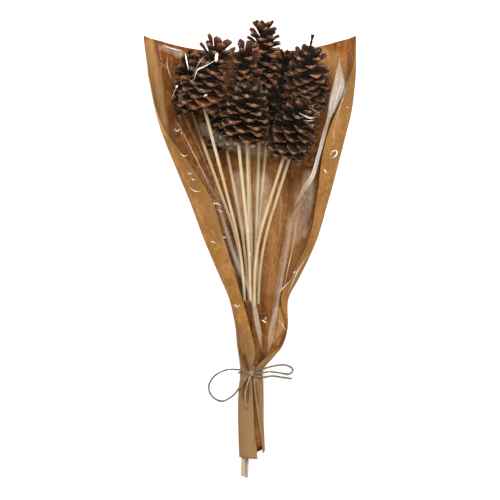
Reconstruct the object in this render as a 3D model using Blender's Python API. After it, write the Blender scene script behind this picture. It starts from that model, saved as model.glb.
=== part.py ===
# A bouquet of ten open pine cones on split-cane sticks, in a kraft paper wrap with a clear film
# front, tied at the neck with a twine bow. It lies on its back: +Z is up, off the table, +Y runs
# from the stick ends towards the cones, and the origin is under the middle of the whole bouquet.

import math
import random

import bmesh
import bpy
from mathutils import Matrix, Vector

MM = 0.001

# Cones: where the stem end and the tip lie, and the widest radius, in millimetres.
CONES = {
    "front_left": {"stem": (-50, 142, 84), "tip": (-28, 211, 87), "radius": 27},
    "back_left": {"stem": (-58, 138, 36), "tip": (-61, 197, 38), "radius": 22},
    "centre": {"stem": (-8, 151, 74.5), "tip": (-5, 204, 103), "radius": 23.5},
    "front_centre": {"stem": (-7.5, 110, 92), "tip": (0, 164, 106), "radius": 26.5},
    "tall": {"stem": (11, 163, 55), "tip": (15, 230.5, 46), "radius": 22},
    "back_centre": {"stem": (-2, 122, 28), "tip": (-3, 184, 30), "radius": 22},
    "upper_right": {"stem": (56, 145, 60), "tip": (59, 201, 84), "radius": 25.5},
    "front_right": {"stem": (35.5, 99, 80), "tip": (56, 148, 97.5), "radius": 26.5},
    "back_right": {"stem": (18, 121, 27), "tip": (45, 203, 31), "radius": 23},
    "low_left": {"stem": (-24, 105, 25), "tip": (-37, 158, 24), "radius": 22},
}
SCALES_PER_CONE = 34
GOLDEN_ANGLE = math.radians(137.508)
CORE_SHARE = 0.34
SCALE_WIDTH_SHARE = 0.66
SCALE_THICKNESS = 2.0 * MM
# Along a cone from stem to tip: outline, scale width and how steeply the scales rise, in degrees.
CONE_OUTLINE = [(0.0, 0.8), (0.14, 0.96), (0.32, 1.0), (0.6, 0.86), (0.85, 0.6), (1.0, 0.4)]
SCALE_WIDTHS = [(0.0, 0.8), (0.3, 1.0), (0.65, 0.82), (0.85, 0.55), (1.0, 0.34)]
SCALE_RISES = [(0.0, -20.0), (0.2, -8.0), (0.45, 6.0), (0.7, 25.0), (0.88, 48.0), (1.0, 74.0)]
CORE_LENGTH_SHARE = 0.84
# Scales grow along the core from its first share up to the last one, each a little different.
FIRST_SCALE_SHARE, SCALE_RUN_SHARE = 0.06, 0.9
SCALE_ROOT_SHARE = 0.25
RISE_SPREAD, SHORTEST_REACH = 4.0, 0.94
# Steep scales stop growing longer at these shares of their reach and of the height left above.
LEAST_COSINE, LEAST_SINE = 0.55, 0.2
# A scale that would press a neighbour is shortened step by step.
NEIGHBOUR_GAP = 0.9 * MM
SHORTENING_STEPS, SHORTER, NARROWER = 14, 0.94, 0.97

# Sticks: one for each cone, gathered in a bundle at the tie. Each has its place in the bundle,
# in stick pitches across and up, where it crosses Y = 0, and where its cut end lies along Y.
# Some enter their cone beside its stem.
STICK_RADIUS = 1.7 * MM
STICK_PITCH = 3.8 * MM
STICK_SOCKET_DEPTH = 8.0 * MM
SOCKET_CLEARANCE = 0.45 * MM
SOCKET_END_GAP = 0.3 * MM
# The socket's cutter runs on outside the cone by this many radii.
CUTTER_REACH = 1.6
STICKS = {
    "front_left": {"across": -1.5, "up": 2, "waist": -8.5, "end": -228.0, "aside": 4.5},
    "front_centre": {"across": -0.5, "up": 2, "waist": -0.5, "end": -196.0, "aside": -4.5},
    "front_right": {"across": 0.5, "up": 2, "waist": 4.5, "end": -137.0},
    "centre": {"across": -1.0, "up": 1, "waist": 0.0, "end": -200.0, "aside": 3.6},
    "tall": {"across": 0.0, "up": 1, "waist": 5.5, "end": -150.0},
    "upper_right": {"across": 1.0, "up": 1, "waist": 10.8, "end": -141.0},
    "back_left": {"across": -1.5, "up": 0, "waist": -9.0, "end": -226.0},
    "low_left": {"across": -0.5, "up": 0, "waist": -4.4, "end": -229.5},
    "back_centre": {"across": 0.5, "up": 0, "waist": 1.8, "end": -180.0},
    "back_right": {"across": 1.5, "up": 0, "waist": 6.4, "end": -172.0},
}
TIE_X, TIE_Y = 1.5 * MM, -123.5 * MM
GATHER_Y = -88.0 * MM
STICK_BEND = 36.0 * MM
BUNDLE_BOTTOM = 6.4 * MM
BUNDLE_LEAN = 0.03

# Paper wrap, from its top edge down to its hem: place on Y, left and right outline, height, lift
# off the table, and how far the left and the right side curl round from the middle of the back.
PAPER_THICKNESS = 0.7 * MM
PAPER_TOP_RISE = 15.5 * MM
PAPER_RISE_POWER = 2.4
PAPER_RISE_FADE = 60.0 * MM
PAPER_COLUMNS = 20
FLAT_BACK_SHARE = 0.06
WRAP_SECTIONS = [
    (199.5, -106.1, 106.0, 88, 0, 92, 92),
    (170.0, -101.0, 105.5, 88, 0, 95, 108),
    (141.0, -94.5, 102.0, 86, 0, 98, 122),
    (118.0, -88.0, 96.5, 83, 0, 107, 127),
    (90.0, -77.0, 89.5, 78, 0, 124, 129),
    (50.0, -61.5, 78.5, 70, 0, 138, 124),
    (10.0, -46.5, 66.5, 60, 0, 141, 121),
    (-25.0, -32.0, 50.5, 51, 0, 144, 128),
    (-50.0, -21.0, 38.5, 43, 0, 147, 131),
    (-78.0, -14.7, 38.0, 34, 0, 154, 114),
    (-95.0, -13.0, 33.0, 29, 0, 166, 110),
    (-108.0, -11.0, 23.5, 22, 0.6, 176, 147),
    (-117.0, -10.0, 15.5, 18, 1.9, 178, 164),
    (-123.5, -10.0, 12.8, 16.4, 2.5, 180, 172),
    (-130.0, -10.0, 12.8, 17, 1.9, 182, 172),
    (-140.0, -11.0, 13.0, 19, 0.5, 187, 166),
    (-170.0, -12.0, 13.8, 21, 0, 194, 146),
    (-208.0, -11.0, 15.5, 22, 0, 203, 121),
]

# Clear film: it is tucked under both side flaps and domes over the cones and sticks. Its rows
# give the place on Y and how high the top of the dome stands.
FILM_THICKNESS = 0.6 * MM
FILM_TUCK_GAP = 1.2 * MM
FILM_DOME_POINTS = 9
FILM_SQUARENESS = 7.0
FILM_CROWNS = [
    (199.5, 119),
    (170.0, 124),
    (141.0, 127),
    (118.0, 126),
    (90.0, 118),
    (50.0, 101),
    (10.0, 82),
    (-25.0, 64),
    (-50.0, 52),
    (-78.0, 38),
    (-95.0, 28),
    (-108.0, 21),
]

# Twine: one turn round the neck with a knot on top, two bow loops and two tails. Routes are in
# millimetres from the knot: across, towards the cones, and up.
TWINE_RADIUS = 1.0 * MM
TWINE_SEAT_GAP = 0.3 * MM
TWINE_POINT_PITCH = 4.5 * MM
TIE_POINTS = 24
KNOT_SIZE = (4.4 * MM, 3.2 * MM, 2.4 * MM)
TWINE_ROUTES = {
    "twine_loop_left": [
        (-4.6, 1.1, 0.0), (-14, 3.2, -0.2), (-26, 2.6, -8.5), (-37, -3.5, -17.0), (-43.0, -13.5, -19.3),
        (-40.0, -23.5, -19.3), (-30.0, -29.0, -19.3), (-19.5, -24.0, -15.5), (-11.5, -14.5, -3.6),
        (-4.4, -3.6, 0.6),
    ],
    "twine_loop_right": [
        (4.3, 1.7, 0.0), (13, 4.2, -0.8), (24, 7.0, -9.0), (35, 7.4, -16.5), (41.8, 3.4, -19.3),
        (38.5, -1.6, -19.3), (29.0, -0.4, -14.6), (17.5, 1.0, -4.5), (11.0, -0.4, 0.9), (4.9, -0.8, 0.7),
    ],
    "twine_tail_left": [
        (-1.2, -3.7, -0.2), (-4.3, -12, -0.7), (-6.0, -19.0, -0.1), (-6.2, -26, 0.3), (-4.6, -35.5, 0.7),
    ],
    "twine_tail_right": [
        (2.9, -3.3, -0.4), (11, -4.6, -1.5), (21, -3.6, -10.0), (32, -5.0, -17.6), (41.0, -6.4, -19.4),
    ],
}

# Colours as linear RGB, with roughness.
FINISHES = {
    "cone": ((0.075, 0.034, 0.018), 0.75),
    "stick": ((0.62, 0.47, 0.27), 0.6),
    "kraft": ((0.36, 0.20, 0.08), 0.8),
    "film": ((0.85, 0.85, 0.85), 0.08),
    "twine": ((0.22, 0.19, 0.14), 0.9),
}


def clear_scene():
    for thing in list(bpy.data.objects):
        bpy.data.objects.remove(thing, do_unlink=True)


def finish(name):
    colour, roughness = FINISHES[name]
    made = bpy.data.materials.get(name) or bpy.data.materials.new(name)
    made.use_nodes = True
    shader = made.node_tree.nodes["Principled BSDF"]
    shader.inputs["Base Color"].default_value = (*colour, 1.0)
    shader.inputs["Roughness"].default_value = roughness
    shader.inputs["Metallic"].default_value = 0.0
    return made


def add_object(name, data, finish_name, collection=None):
    thing = bpy.data.objects.new(name, data)
    thing.data.materials.append(finish(finish_name))
    (collection or bpy.context.scene.collection).objects.link(thing)
    return thing


def add_mesh(name, bm, finish_name, collection=None, smooth_angle=None):
    bmesh.ops.recalc_face_normals(bm, faces=bm.faces)
    data = bpy.data.meshes.new(name)
    bm.to_mesh(data)
    bm.free()
    if smooth_angle:
        data.shade_smooth()
        data.set_sharp_from_angle(angle=math.radians(smooth_angle))
    return add_object(name, data, finish_name, collection)


def straight_between(rows, at, column=1):
    # Straight-line reading of one column of a table that is sorted by its first column.
    for low, high in zip(rows, rows[1:]):
        if (low[0] - at) * (high[0] - at) <= 0:
            share = (at - low[0]) / (high[0] - low[0])
            return low[column] + (high[column] - low[column]) * share
    return rows[0][column] if abs(at - rows[0][0]) < abs(at - rows[-1][0]) else rows[-1][column]


def smooth_route(points, pitch):
    # Evenly spaced points on a smooth curve through the given ones.
    padded = [2 * points[0] - points[1], *points, 2 * points[-1] - points[-2]]
    fine = []
    for before, start, end, after in zip(padded, padded[1:], padded[2:], padded[3:]):
        for step in range(12):
            t = step / 12
            fine.append(0.5 * (2 * start + (end - before) * t
                               + (2 * before - 5 * start + 4 * end - after) * t * t
                               + (3 * start - before - 3 * end + after) * t ** 3))
    fine.append(points[-1])
    lengths = [0.0]
    for start, end in zip(fine, fine[1:]):
        lengths.append(lengths[-1] + (end - start).length)
    count = max(2, round(lengths[-1] / pitch))
    route, i = [], 0
    for step in range(count + 1):
        reach = lengths[-1] * step / count
        while i < len(lengths) - 2 and lengths[i + 1] < reach:
            i += 1
        share = (reach - lengths[i]) / max(lengths[i + 1] - lengths[i], 1e-12)
        route.append(fine[i].lerp(fine[i + 1], share))
    return route


def add_tube(name, route, radius, finish_name, closed=False):
    curve = bpy.data.curves.new(name, "CURVE")
    curve.dimensions = "3D"
    curve.bevel_depth = radius
    curve.bevel_resolution = 2
    curve.use_fill_caps = True
    spline = curve.splines.new("POLY")
    spline.points.add(len(route) - 1)
    for point, place in zip(spline.points, route):
        point.co = (*place, 1.0)
    spline.use_cyclic_u = closed
    return add_object(name, curve, finish_name)


# Cones

def cone_axis(name):
    stem, tip = (Vector(CONES[name][end]) * MM for end in ("stem", "tip"))
    return stem, tip


def distance_to_axis(point, name):
    # How far a point is from a cone's axis, as a share of the cone's radius.
    stem, tip = cone_axis(name)
    along = tip - stem
    share = min(1.0, max(0.0, (point - stem).dot(along) / along.length_squared))
    return (point - (stem + along * share)).length / (CONES[name]["radius"] * MM)


def presses_neighbour(point, name):
    # True where a point of this cone's scale would lie in a neighbour's share of the space.
    own = distance_to_axis(point, name) * CONES[name]["radius"] * MM + NEIGHBOUR_GAP
    own_share = own / (CONES[name]["radius"] * MM)
    return any(distance_to_axis(point, other) < own_share for other in CONES if other != name)


def scale_corners(length, width, thickness):
    # One scale, root at the origin, running out along X with its upper face towards Z: a narrow
    # root, a broad shoulder that rises a little, and a thick blunt end.
    outline = [(0.0, 0.2, 0.0), (0.7, 0.5, 0.02), (0.97, 0.3, 0.1)]
    corners = []
    for along, half, rise in outline:
        for side in (-1, 1):
            for face in (-0.5, 0.5):
                thick = thickness * (0.75 + 0.35 * along)
                corners.append(Vector((along * length, side * half * width, rise * length + face * thick)))
    return corners


def add_scale(bm, corners):
    # The three cross-sections of scale_corners, skinned into a closed six-sided blade.
    verts = [bm.verts.new(corner) for corner in corners]
    for start in (0, 4):
        a, b, c, d = verts[start:start + 4]
        e, f, g, h = verts[start + 4:start + 8]
        for ring in ((a, e, g, c), (b, d, h, f), (a, b, f, e), (c, g, h, d)):
            bm.faces.new(ring)
    bm.faces.new((verts[0], verts[2], verts[3], verts[1]))
    bm.faces.new((verts[8], verts[9], verts[11], verts[10]))


def cone_frame(name):
    # Turns the cone's own frame, Z from stem to tip, into the bouquet's frame.
    stem, tip = cone_axis(name)
    turn = (tip - stem).to_track_quat("Z", "Y").to_matrix().to_4x4()
    return Matrix.Translation(stem) @ turn


def add_core(name, length, radius):
    # The cone's spindle, which its scales grow from.
    bm = bmesh.new()
    rings = [(0.0, 0.85), (0.3, 1.0), (1.0, 0.34)]
    sides = 6
    last = None
    for height, share in rings:
        ring = [bm.verts.new((radius * share * math.cos(math.tau * k / sides),
                              radius * share * math.sin(math.tau * k / sides),
                              length * height)) for k in range(sides)]
        if last:
            for k in range(sides):
                bm.faces.new((last[k], last[(k + 1) % sides], ring[(k + 1) % sides], ring[k]))
        else:
            bm.faces.new(list(reversed(ring)))
        last = ring
    bm.faces.new(last)
    core = add_mesh("pine_cone_" + name, bm, "cone", smooth_angle=45)
    core.data.transform(cone_frame(name))
    return core


def stick_top(name):
    # Where a stick passes the stem end of its cone.
    stem, _ = cone_axis(name)
    return stem + Vector((STICKS[name].get("aside", 0.0) * MM, 0.0, 0.0))


def stick_waist(name):
    # Where a stick crosses Y = 0: as high as the straight line to the bundle.
    top, gather = stick_top(name), bundle_place(name, GATHER_Y)
    place = gather.lerp(top, -gather.y / (top.y - gather.y))
    place.x = STICKS[name]["waist"] * MM
    return place


def stick_heading(name):
    # The way a stick leaves its cone.
    return (stick_waist(name) - stick_top(name)).normalized()


def add_pine_cone(name, seed):
    draw = random.Random(seed)
    stem, tip = cone_axis(name)
    radius = CONES[name]["radius"] * MM
    length = (tip - stem).length
    core_length = length * CORE_LENGTH_SHARE
    frame = cone_frame(name)
    scales = bpy.data.collections.new("scales_" + name)
    bpy.context.scene.collection.children.link(scales)
    core = add_core(name, core_length, radius * CORE_SHARE)
    turned = draw.uniform(0, math.tau)
    for i in range(SCALES_PER_CONE):
        share = (i + 0.5) / SCALES_PER_CONE
        rise = math.radians(straight_between(SCALE_RISES, share) + draw.uniform(-RISE_SPREAD, RISE_SPREAD))
        reach = radius * straight_between(CONE_OUTLINE, share) * draw.uniform(SHORTEST_REACH, 1.0)
        width = radius * SCALE_WIDTH_SHARE * straight_between(SCALE_WIDTHS, share)
        root = radius * CORE_SHARE * SCALE_ROOT_SHARE
        height = core_length * (FIRST_SCALE_SHARE + SCALE_RUN_SHARE * share)
        blade = (reach - root) / max(math.cos(rise), LEAST_COSINE)
        blade = min(blade, (length - height) / max(math.sin(rise), LEAST_SINE))
        place = (Matrix.Rotation(turned + i * GOLDEN_ANGLE, 4, "Z")
                 @ Matrix.Translation((root, 0, height))
                 @ Matrix.Rotation(-rise, 4, "Y"))
        for _ in range(SHORTENING_STEPS):
            corners = [frame @ place @ c for c in scale_corners(blade, width, SCALE_THICKNESS)]
            if not any(presses_neighbour(c, name) for c in corners):
                break
            blade *= SHORTER
            width *= NARROWER
        bm = bmesh.new()
        add_scale(bm, corners)
        add_mesh("scale", bm, "cone", collection=scales)
    join = core.modifiers.new("scales", "BOOLEAN")
    join.operation = "UNION"
    join.operand_type = "COLLECTION"
    join.collection = scales
    join.solver = "MANIFOLD"
    bake_modifiers(core)
    for blade in list(scales.objects):
        bpy.data.objects.remove(blade, do_unlink=True)
    bpy.data.collections.remove(scales)
    drill_socket(core, name)


def drill_socket(cone, name):
    # The hole that the stick is glued into, carried on outside to clear the scales beside it.
    top, heading = stick_top(name), stick_heading(name)
    outside = CONES[name]["radius"] * MM * CUTTER_REACH
    bm = bmesh.new()
    wall = STICK_RADIUS + SOCKET_CLEARANCE
    bmesh.ops.create_cone(bm, cap_ends=True, segments=8, radius1=wall, radius2=wall,
                          depth=STICK_SOCKET_DEPTH + outside)
    drill = add_mesh("socket_cutter_" + name, bm, "cone")
    middle = top + heading * (outside - STICK_SOCKET_DEPTH) / 2
    turn = heading.to_track_quat("Z", "Y").to_matrix().to_4x4()
    drill.data.transform(Matrix.Translation(middle) @ turn)
    cut = cone.modifiers.new("socket", "BOOLEAN")
    cut.operation = "DIFFERENCE"
    cut.object = drill
    cut.solver = "MANIFOLD"
    bake_modifiers(cone)
    bpy.data.objects.remove(drill, do_unlink=True)


def bake_modifiers(thing):
    bpy.context.view_layer.update()
    shape = thing.evaluated_get(bpy.context.evaluated_depsgraph_get())
    finished = bpy.data.meshes.new_from_object(shape)
    thing.modifiers.clear()
    thing.data = finished
    drop_scraps(thing)


def drop_scraps(thing):
    # Keeps the largest connected body, so that a scale tip cut off by its neighbours is dropped.
    bm = bmesh.new()
    bm.from_mesh(thing.data)
    left = set(bm.faces)
    bodies = []
    while left:
        body, edge = set(), [left.pop()]
        while edge:
            face = edge.pop()
            body.add(face)
            for side in face.edges:
                for other in side.link_faces:
                    if other in left:
                        left.discard(other)
                        edge.append(other)
        bodies.append(body)
    largest = max(bodies, key=len)
    scraps = [face for body in bodies if body is not largest for face in body]
    if scraps:
        bmesh.ops.delete(bm, geom=scraps, context="FACES")
    bm.to_mesh(thing.data)
    bm.free()


# Sticks

def bundle_place(name, y):
    # Where a stick runs in the bundle at a place on Y.
    spot = STICKS[name]
    lean = (y - TIE_Y) * BUNDLE_LEAN
    return Vector((TIE_X + spot["across"] * STICK_PITCH + lean, y,
                   BUNDLE_BOTTOM + spot["up"] * STICK_PITCH * math.sqrt(0.75)))


def rounded_route(corners, bend):
    # A route of straight legs whose corners are cut by a bend of the given length each way.
    route = [corners[0]]
    for before, corner, after in zip(corners, corners[1:], corners[2:]):
        start = corner + (before - corner).normalized() * bend
        end = corner + (after - corner).normalized() * bend
        route += [start, (start + 2 * corner + end) / 4, end]
    return [*route, corners[-1]]


def add_stick(name):
    top = stick_top(name) - stick_heading(name) * (STICK_SOCKET_DEPTH - SOCKET_END_GAP)
    foot = bundle_place(name, STICKS[name]["end"] * MM)
    corners = [top, stick_waist(name), bundle_place(name, GATHER_Y), foot]
    add_tube("stick_" + name, rounded_route(corners, STICK_BEND), STICK_RADIUS, "stick")


# Paper wrap and film

def wrap_section(y):
    # The section's values at a place on Y, in metres and radians, on smooth curves.
    rows = WRAP_SECTIONS
    at = min(rows[0][0], max(rows[-1][0], y / MM))
    i = next(k for k in range(len(rows) - 1) if rows[k][0] >= at >= rows[k + 1][0])
    four = [rows[max(i - 1, 0)], rows[i], rows[i + 1], rows[min(i + 2, len(rows) - 1)]]
    t = (at - four[1][0]) / (four[2][0] - four[1][0])
    span = four[2][0] - four[1][0]
    values = []
    for column in range(1, 7):
        before, start, end, after = (row[column] for row in four)
        leave = (end - before) / ((four[2][0] - four[0][0]) or 1) * span
        arrive = (after - start) / ((four[3][0] - four[1][0]) or 1) * span
        values.append((2 * t ** 3 - 3 * t ** 2 + 1) * start + (t ** 3 - 2 * t ** 2 + t) * leave
                      + (3 * t ** 2 - 2 * t ** 3) * end + (t ** 3 - t ** 2) * arrive)
    left, right, height, lift, curl_left, curl_right = values
    return (left * MM, right * MM, height * MM, lift * MM,
            math.radians(curl_left), math.radians(curl_right))


def section_point(y, turn, inset=0.0):
    # A point of the cross-section, flattened where it lies on the table: turn runs from 0 at the
    # middle of the back, and inset is how far inside the paper's outer face it is.
    left, right, height, lift, _, _ = wrap_section(y)
    across, deep = (right - left) / 2 - inset, height / 2 - inset
    sag = FLAT_BACK_SHARE * height / 2
    z = lift + inset + max(0.0, deep * (1 - math.cos(turn)) - sag)
    return Vector(((left + right) / 2 + across * math.sin(turn), y, z))


def wrap_point(y, side, inset=0.0):
    # A point of the paper: side runs from -1 at its left edge over 0 at the back to 1.
    curl_left, curl_right = wrap_section(y)[4:]
    turn = side * (curl_left if side < 0 else curl_right)
    point = section_point(y, turn, inset)
    near_top = max(0.0, 1 - (WRAP_SECTIONS[0][0] * MM - y) / PAPER_RISE_FADE)
    outward = math.sin(min(abs(turn), math.pi / 2))
    point.y += PAPER_TOP_RISE * outward ** PAPER_RISE_POWER * near_top ** 2
    return point


def add_sheet(name, rows, thickness, finish_name):
    # A grid of points made into a closed sheet, with the given points on its outer face.
    bm = bmesh.new()
    grid = [[bm.verts.new(point) for point in row] for row in rows]
    for upper, lower in zip(grid, grid[1:]):
        for k in range(len(upper) - 1):
            bm.faces.new((upper[k], upper[k + 1], lower[k + 1], lower[k]))
    data = bpy.data.meshes.new(name)
    bm.to_mesh(data)
    bm.free()
    data.shade_smooth()
    data.set_sharp_from_angle(angle=math.radians(50))
    sheet = add_object(name, data, finish_name)
    wall = sheet.modifiers.new("thickness", "SOLIDIFY")
    wall.thickness = thickness
    wall.offset = -1.0
    wall.use_even_offset = True
    wall.use_quality_normals = True
    return sheet


def add_paper_wrap():
    rows = []
    for section in WRAP_SECTIONS:
        y = section[0] * MM
        rows.append([wrap_point(y, 2 * k / PAPER_COLUMNS - 1) for k in range(PAPER_COLUMNS + 1)])
    add_sheet("kraft_wrap", rows, PAPER_THICKNESS, "kraft")


def add_film_front():
    rows = []
    inset = PAPER_THICKNESS + FILM_TUCK_GAP
    step = 2 / PAPER_COLUMNS
    for y, crown in FILM_CROWNS:
        y = y * MM
        right = [wrap_point(y, side, inset) for side in (1 - 2 * step, 1 - step, 1)]
        left = [wrap_point(y, side, inset) for side in (-1, -1 + step, -1 + 2 * step)]
        dome = []
        for k in range(1, FILM_DOME_POINTS + 1):
            share = 0.5 - 0.5 * math.cos(math.pi * k / (FILM_DOME_POINTS + 1))
            place = right[-1].lerp(left[0], share)
            swell = (1 - abs(2 * share - 1) ** FILM_SQUARENESS) ** 0.5
            place.z += (crown * MM - place.z) * swell
            dome.append(place)
        rows.append([*right, *dome, *left])
    add_sheet("film_front", rows, FILM_THICKNESS, "film")


# Twine

def add_tie():
    outside = -(TWINE_RADIUS + TWINE_SEAT_GAP)
    route = [section_point(TIE_Y, math.tau * k / TIE_POINTS, outside) for k in range(TIE_POINTS)]
    tie = add_tube("twine_tie", route, TWINE_RADIUS, "twine", closed=True)
    bpy.context.view_layer.update()
    shape = tie.evaluated_get(bpy.context.evaluated_depsgraph_get())
    band = bpy.data.meshes.new_from_object(shape)
    bpy.data.objects.remove(tie, do_unlink=True)
    tie = bpy.data.objects.new("twine_tie", band)
    bpy.context.scene.collection.objects.link(tie)
    bm = bmesh.new()
    bmesh.ops.create_icosphere(bm, subdivisions=2, radius=1.0)
    bmesh.ops.scale(bm, verts=bm.verts, vec=KNOT_SIZE)
    bmesh.ops.translate(bm, verts=bm.verts, vec=knot_place())
    knot = add_mesh("knot_lump", bm, "twine")
    join = tie.modifiers.new("knot", "BOOLEAN")
    join.operation = "UNION"
    join.object = knot
    join.solver = "MANIFOLD"
    bake_modifiers(tie)
    bpy.data.objects.remove(knot, do_unlink=True)


def knot_place():
    return section_point(TIE_Y, math.pi, -(KNOT_SIZE[2] + TWINE_SEAT_GAP))


def add_bow():
    knot = knot_place()
    for name, stops in TWINE_ROUTES.items():
        route = smooth_route([knot + Vector(stop) * MM for stop in stops], TWINE_POINT_PITCH)
        add_tube(name, route, TWINE_RADIUS, "twine")


def main():
    clear_scene()
    add_paper_wrap()
    add_film_front()
    for seed, name in enumerate(CONES):
        add_pine_cone(name, seed)
        add_stick(name)
    add_tie()
    add_bow()


main()
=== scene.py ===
# Looks of a pine cone bouquet: ten open cones on split-cane sticks, in a kraft paper wrap with a
# clear film front, tied at the neck with a twine bow. It lies on its back, cones towards +Y.

import math
import random

import bmesh
import bpy
import numpy as np
from mathutils import Matrix, Vector, noise
from mathutils.bvhtree import BVHTree


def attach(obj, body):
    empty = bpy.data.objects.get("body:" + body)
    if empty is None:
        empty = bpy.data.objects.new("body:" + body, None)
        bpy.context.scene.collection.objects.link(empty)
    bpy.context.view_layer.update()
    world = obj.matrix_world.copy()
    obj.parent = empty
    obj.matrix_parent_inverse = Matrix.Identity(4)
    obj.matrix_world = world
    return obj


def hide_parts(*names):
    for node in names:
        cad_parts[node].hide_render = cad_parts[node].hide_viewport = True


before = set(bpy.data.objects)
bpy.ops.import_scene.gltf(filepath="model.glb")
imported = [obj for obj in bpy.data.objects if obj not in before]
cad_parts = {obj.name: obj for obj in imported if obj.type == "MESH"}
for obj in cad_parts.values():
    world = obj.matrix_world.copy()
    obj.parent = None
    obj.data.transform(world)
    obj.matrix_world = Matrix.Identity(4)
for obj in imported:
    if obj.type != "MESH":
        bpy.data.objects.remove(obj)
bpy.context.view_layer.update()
mm = 0.001
scene = bpy.context.scene


# Camera, floor and light

studio = {
    "lens": 360.0,
    "distance": 5.0,
    "aimHeight": 50,            # mm above the floor where one picture is half a metre wide
    "floorSize": 16.0,
    "floorGap": 0.2,            # mm, so that the floor doesn't flicker through the paper
    "floorColour": (0.92, 0.92, 0.92),
    "floorGlow": 0.22,
    "worldColour": (0.96, 0.98, 1.0),
    "worldStrength": 0.42,
    "softboxes": [              # place, size, watts, what it points at
        ((-0.75, 0.95, 1.75), 0.85, 28, (0, 0.05, 0.05)),
        ((1.15, 0.25, 1.7), 0.8, 19, (0, 0.05, 0.05)),
        ((0.3, 0.5, 2.4), 0.8, 30, (0, 0.05, 0.05)),
        ((-0.2, -1.3, 1.5), 0.7, 8, (0, 0.0, 0.05)),
    ],
}


def underPixel(across, down, height=50.0):
    # The place in mm that the camera sees at a pixel of the 500 x 500 picture, at a height in mm.
    shrink = 1 - (height - studio["aimHeight"]) * mm / studio["distance"]
    return (across - 250) * shrink, (249.5 - down) * shrink


def makeStudio():
    lens = bpy.data.cameras.new("camera")
    lens.lens = studio["lens"]
    lens.sensor_width = 36
    lens.clip_end = 40
    camera = bpy.data.objects.new("camera", lens)
    camera.location = (0, 0, studio["distance"] + studio["aimHeight"] * mm)
    scene.collection.objects.link(camera)
    scene.camera = camera
    scene.view_settings.view_transform = "Standard"

    world = bpy.data.worlds.new("pale studio")
    world.use_nodes = True
    background = world.node_tree.nodes["Background"]
    background.inputs["Color"].default_value = (*studio["worldColour"], 1)
    background.inputs["Strength"].default_value = studio["worldStrength"]
    scene.world = world

    for i, (place, size, watts, aim) in enumerate(studio["softboxes"]):
        light = bpy.data.lights.new("softbox" + str(i), "AREA")
        light.size = size
        light.energy = watts
        box = bpy.data.objects.new("softbox" + str(i), light)
        box.location = place
        box.rotation_mode = "QUATERNION"
        box.rotation_quaternion = (Vector(aim) - Vector(place)).to_track_quat("-Z", "Y")
        scene.collection.objects.link(box)

    bm = bmesh.new()
    bmesh.ops.create_grid(bm, x_segments=2, y_segments=2, size=studio["floorSize"] / 2)
    bmesh.ops.translate(bm, verts=bm.verts, vec=(0, 0, -studio["floorGap"] * mm))
    floor = addPiece("floor", bm, floorFinish())
    print("studio: camera, floor and", len(studio["softboxes"]), "softboxes")


# Helpers for meshes, routes and materials

def addPiece(name, bm, *finishes):
    data = bpy.data.meshes.new(name)
    bm.to_mesh(data)
    bm.free()
    data.shade_smooth()
    for finish in finishes:
        data.materials.append(finish)
    thing = bpy.data.objects.new(name, data)
    scene.collection.objects.link(thing)
    return thing


def newMesh():
    # An empty mesh with a UV map, which bendGrid fills.
    bm = bmesh.new()
    bm.loops.layers.uv.new("UVMap")
    return bm


def bendGrid(bm, across, along, place):
    # Adds a flat grid and moves its points to where place(u, v) says, u and v running from 0 to 1.
    made = bmesh.ops.create_grid(bm, x_segments=across, y_segments=along, size=0.5, calc_uvs=True)
    for vert in made["verts"]:
        vert.co = place(vert.co.x + 0.5, vert.co.y + 0.5)
    return made["verts"]


def faceSheet(bm, face, upwards=True):
    # Turns a whole sheet inside out if the given face of it looks the wrong way.
    face.normal_update()
    if (face.normal.z > 0) != upwards:
        bmesh.ops.reverse_faces(bm, faces=bm.faces)


def addThickness(thing, thickness, innerFinish=0):
    wall = thing.modifiers.new("thickness", "SOLIDIFY")
    wall.thickness = thickness * mm
    wall.offset = -1
    wall.material_offset = innerFinish


def blend(rows, at, column=1):
    # Straight-line reading of one column of a table that is sorted by its first column.
    for low, high in zip(rows, rows[1:]):
        if (low[0] - at) * (high[0] - at) <= 0:
            return low[column] + (high[column] - low[column]) * (at - low[0]) / (high[0] - low[0])
    return rows[0][column] if abs(at - rows[0][0]) < abs(at - rows[-1][0]) else rows[-1][column]


def easeStep(low, high, at):
    t = min(1.0, max(0.0, (at - low) / (high - low)))
    return t * t * (3 - 2 * t)


def smoothRoute(points, pitch, steps=12):
    # Evenly spaced points on a smooth curve through the given ones.
    padded = [2 * points[0] - points[1], *points, 2 * points[-1] - points[-2]]
    fine = []
    for before, start, end, after in zip(padded, padded[1:], padded[2:], padded[3:]):
        for step in range(steps):
            t = step / steps
            fine.append(0.5 * (2 * start + (end - before) * t
                               + (2 * before - 5 * start + 4 * end - after) * t * t
                               + (3 * start - before - 3 * end + after) * t ** 3))
    fine.append(points[-1])
    return evenRoute(fine, pitch)


def evenRoute(fine, pitch):
    lengths = [0.0]
    for start, end in zip(fine, fine[1:]):
        lengths.append(lengths[-1] + (end - start).length)
    count = max(2, round(lengths[-1] / pitch))
    route, i = [], 0
    for step in range(count + 1):
        reach = lengths[-1] * step / count
        while i < len(lengths) - 2 and lengths[i + 1] < reach:
            i += 1
        share = (reach - lengths[i]) / max(lengths[i + 1] - lengths[i], 1e-12)
        route.append(fine[i].lerp(fine[i + 1], share))
    return route


def routeLength(route):
    return sum((end - start).length for start, end in zip(route, route[1:]))


def routeFrames(route):
    # For each point of a route, two directions square to it that don't twist along the way.
    frames = []
    side = None
    for i in range(len(route)):
        ahead = (route[min(i + 1, len(route) - 1)] - route[max(i - 1, 0)]).normalized()
        if side is None:
            side = ahead.orthogonal()
        side = (side - ahead * side.dot(ahead)).normalized()
        frames.append((side, ahead.cross(side)))
    return frames


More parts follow.
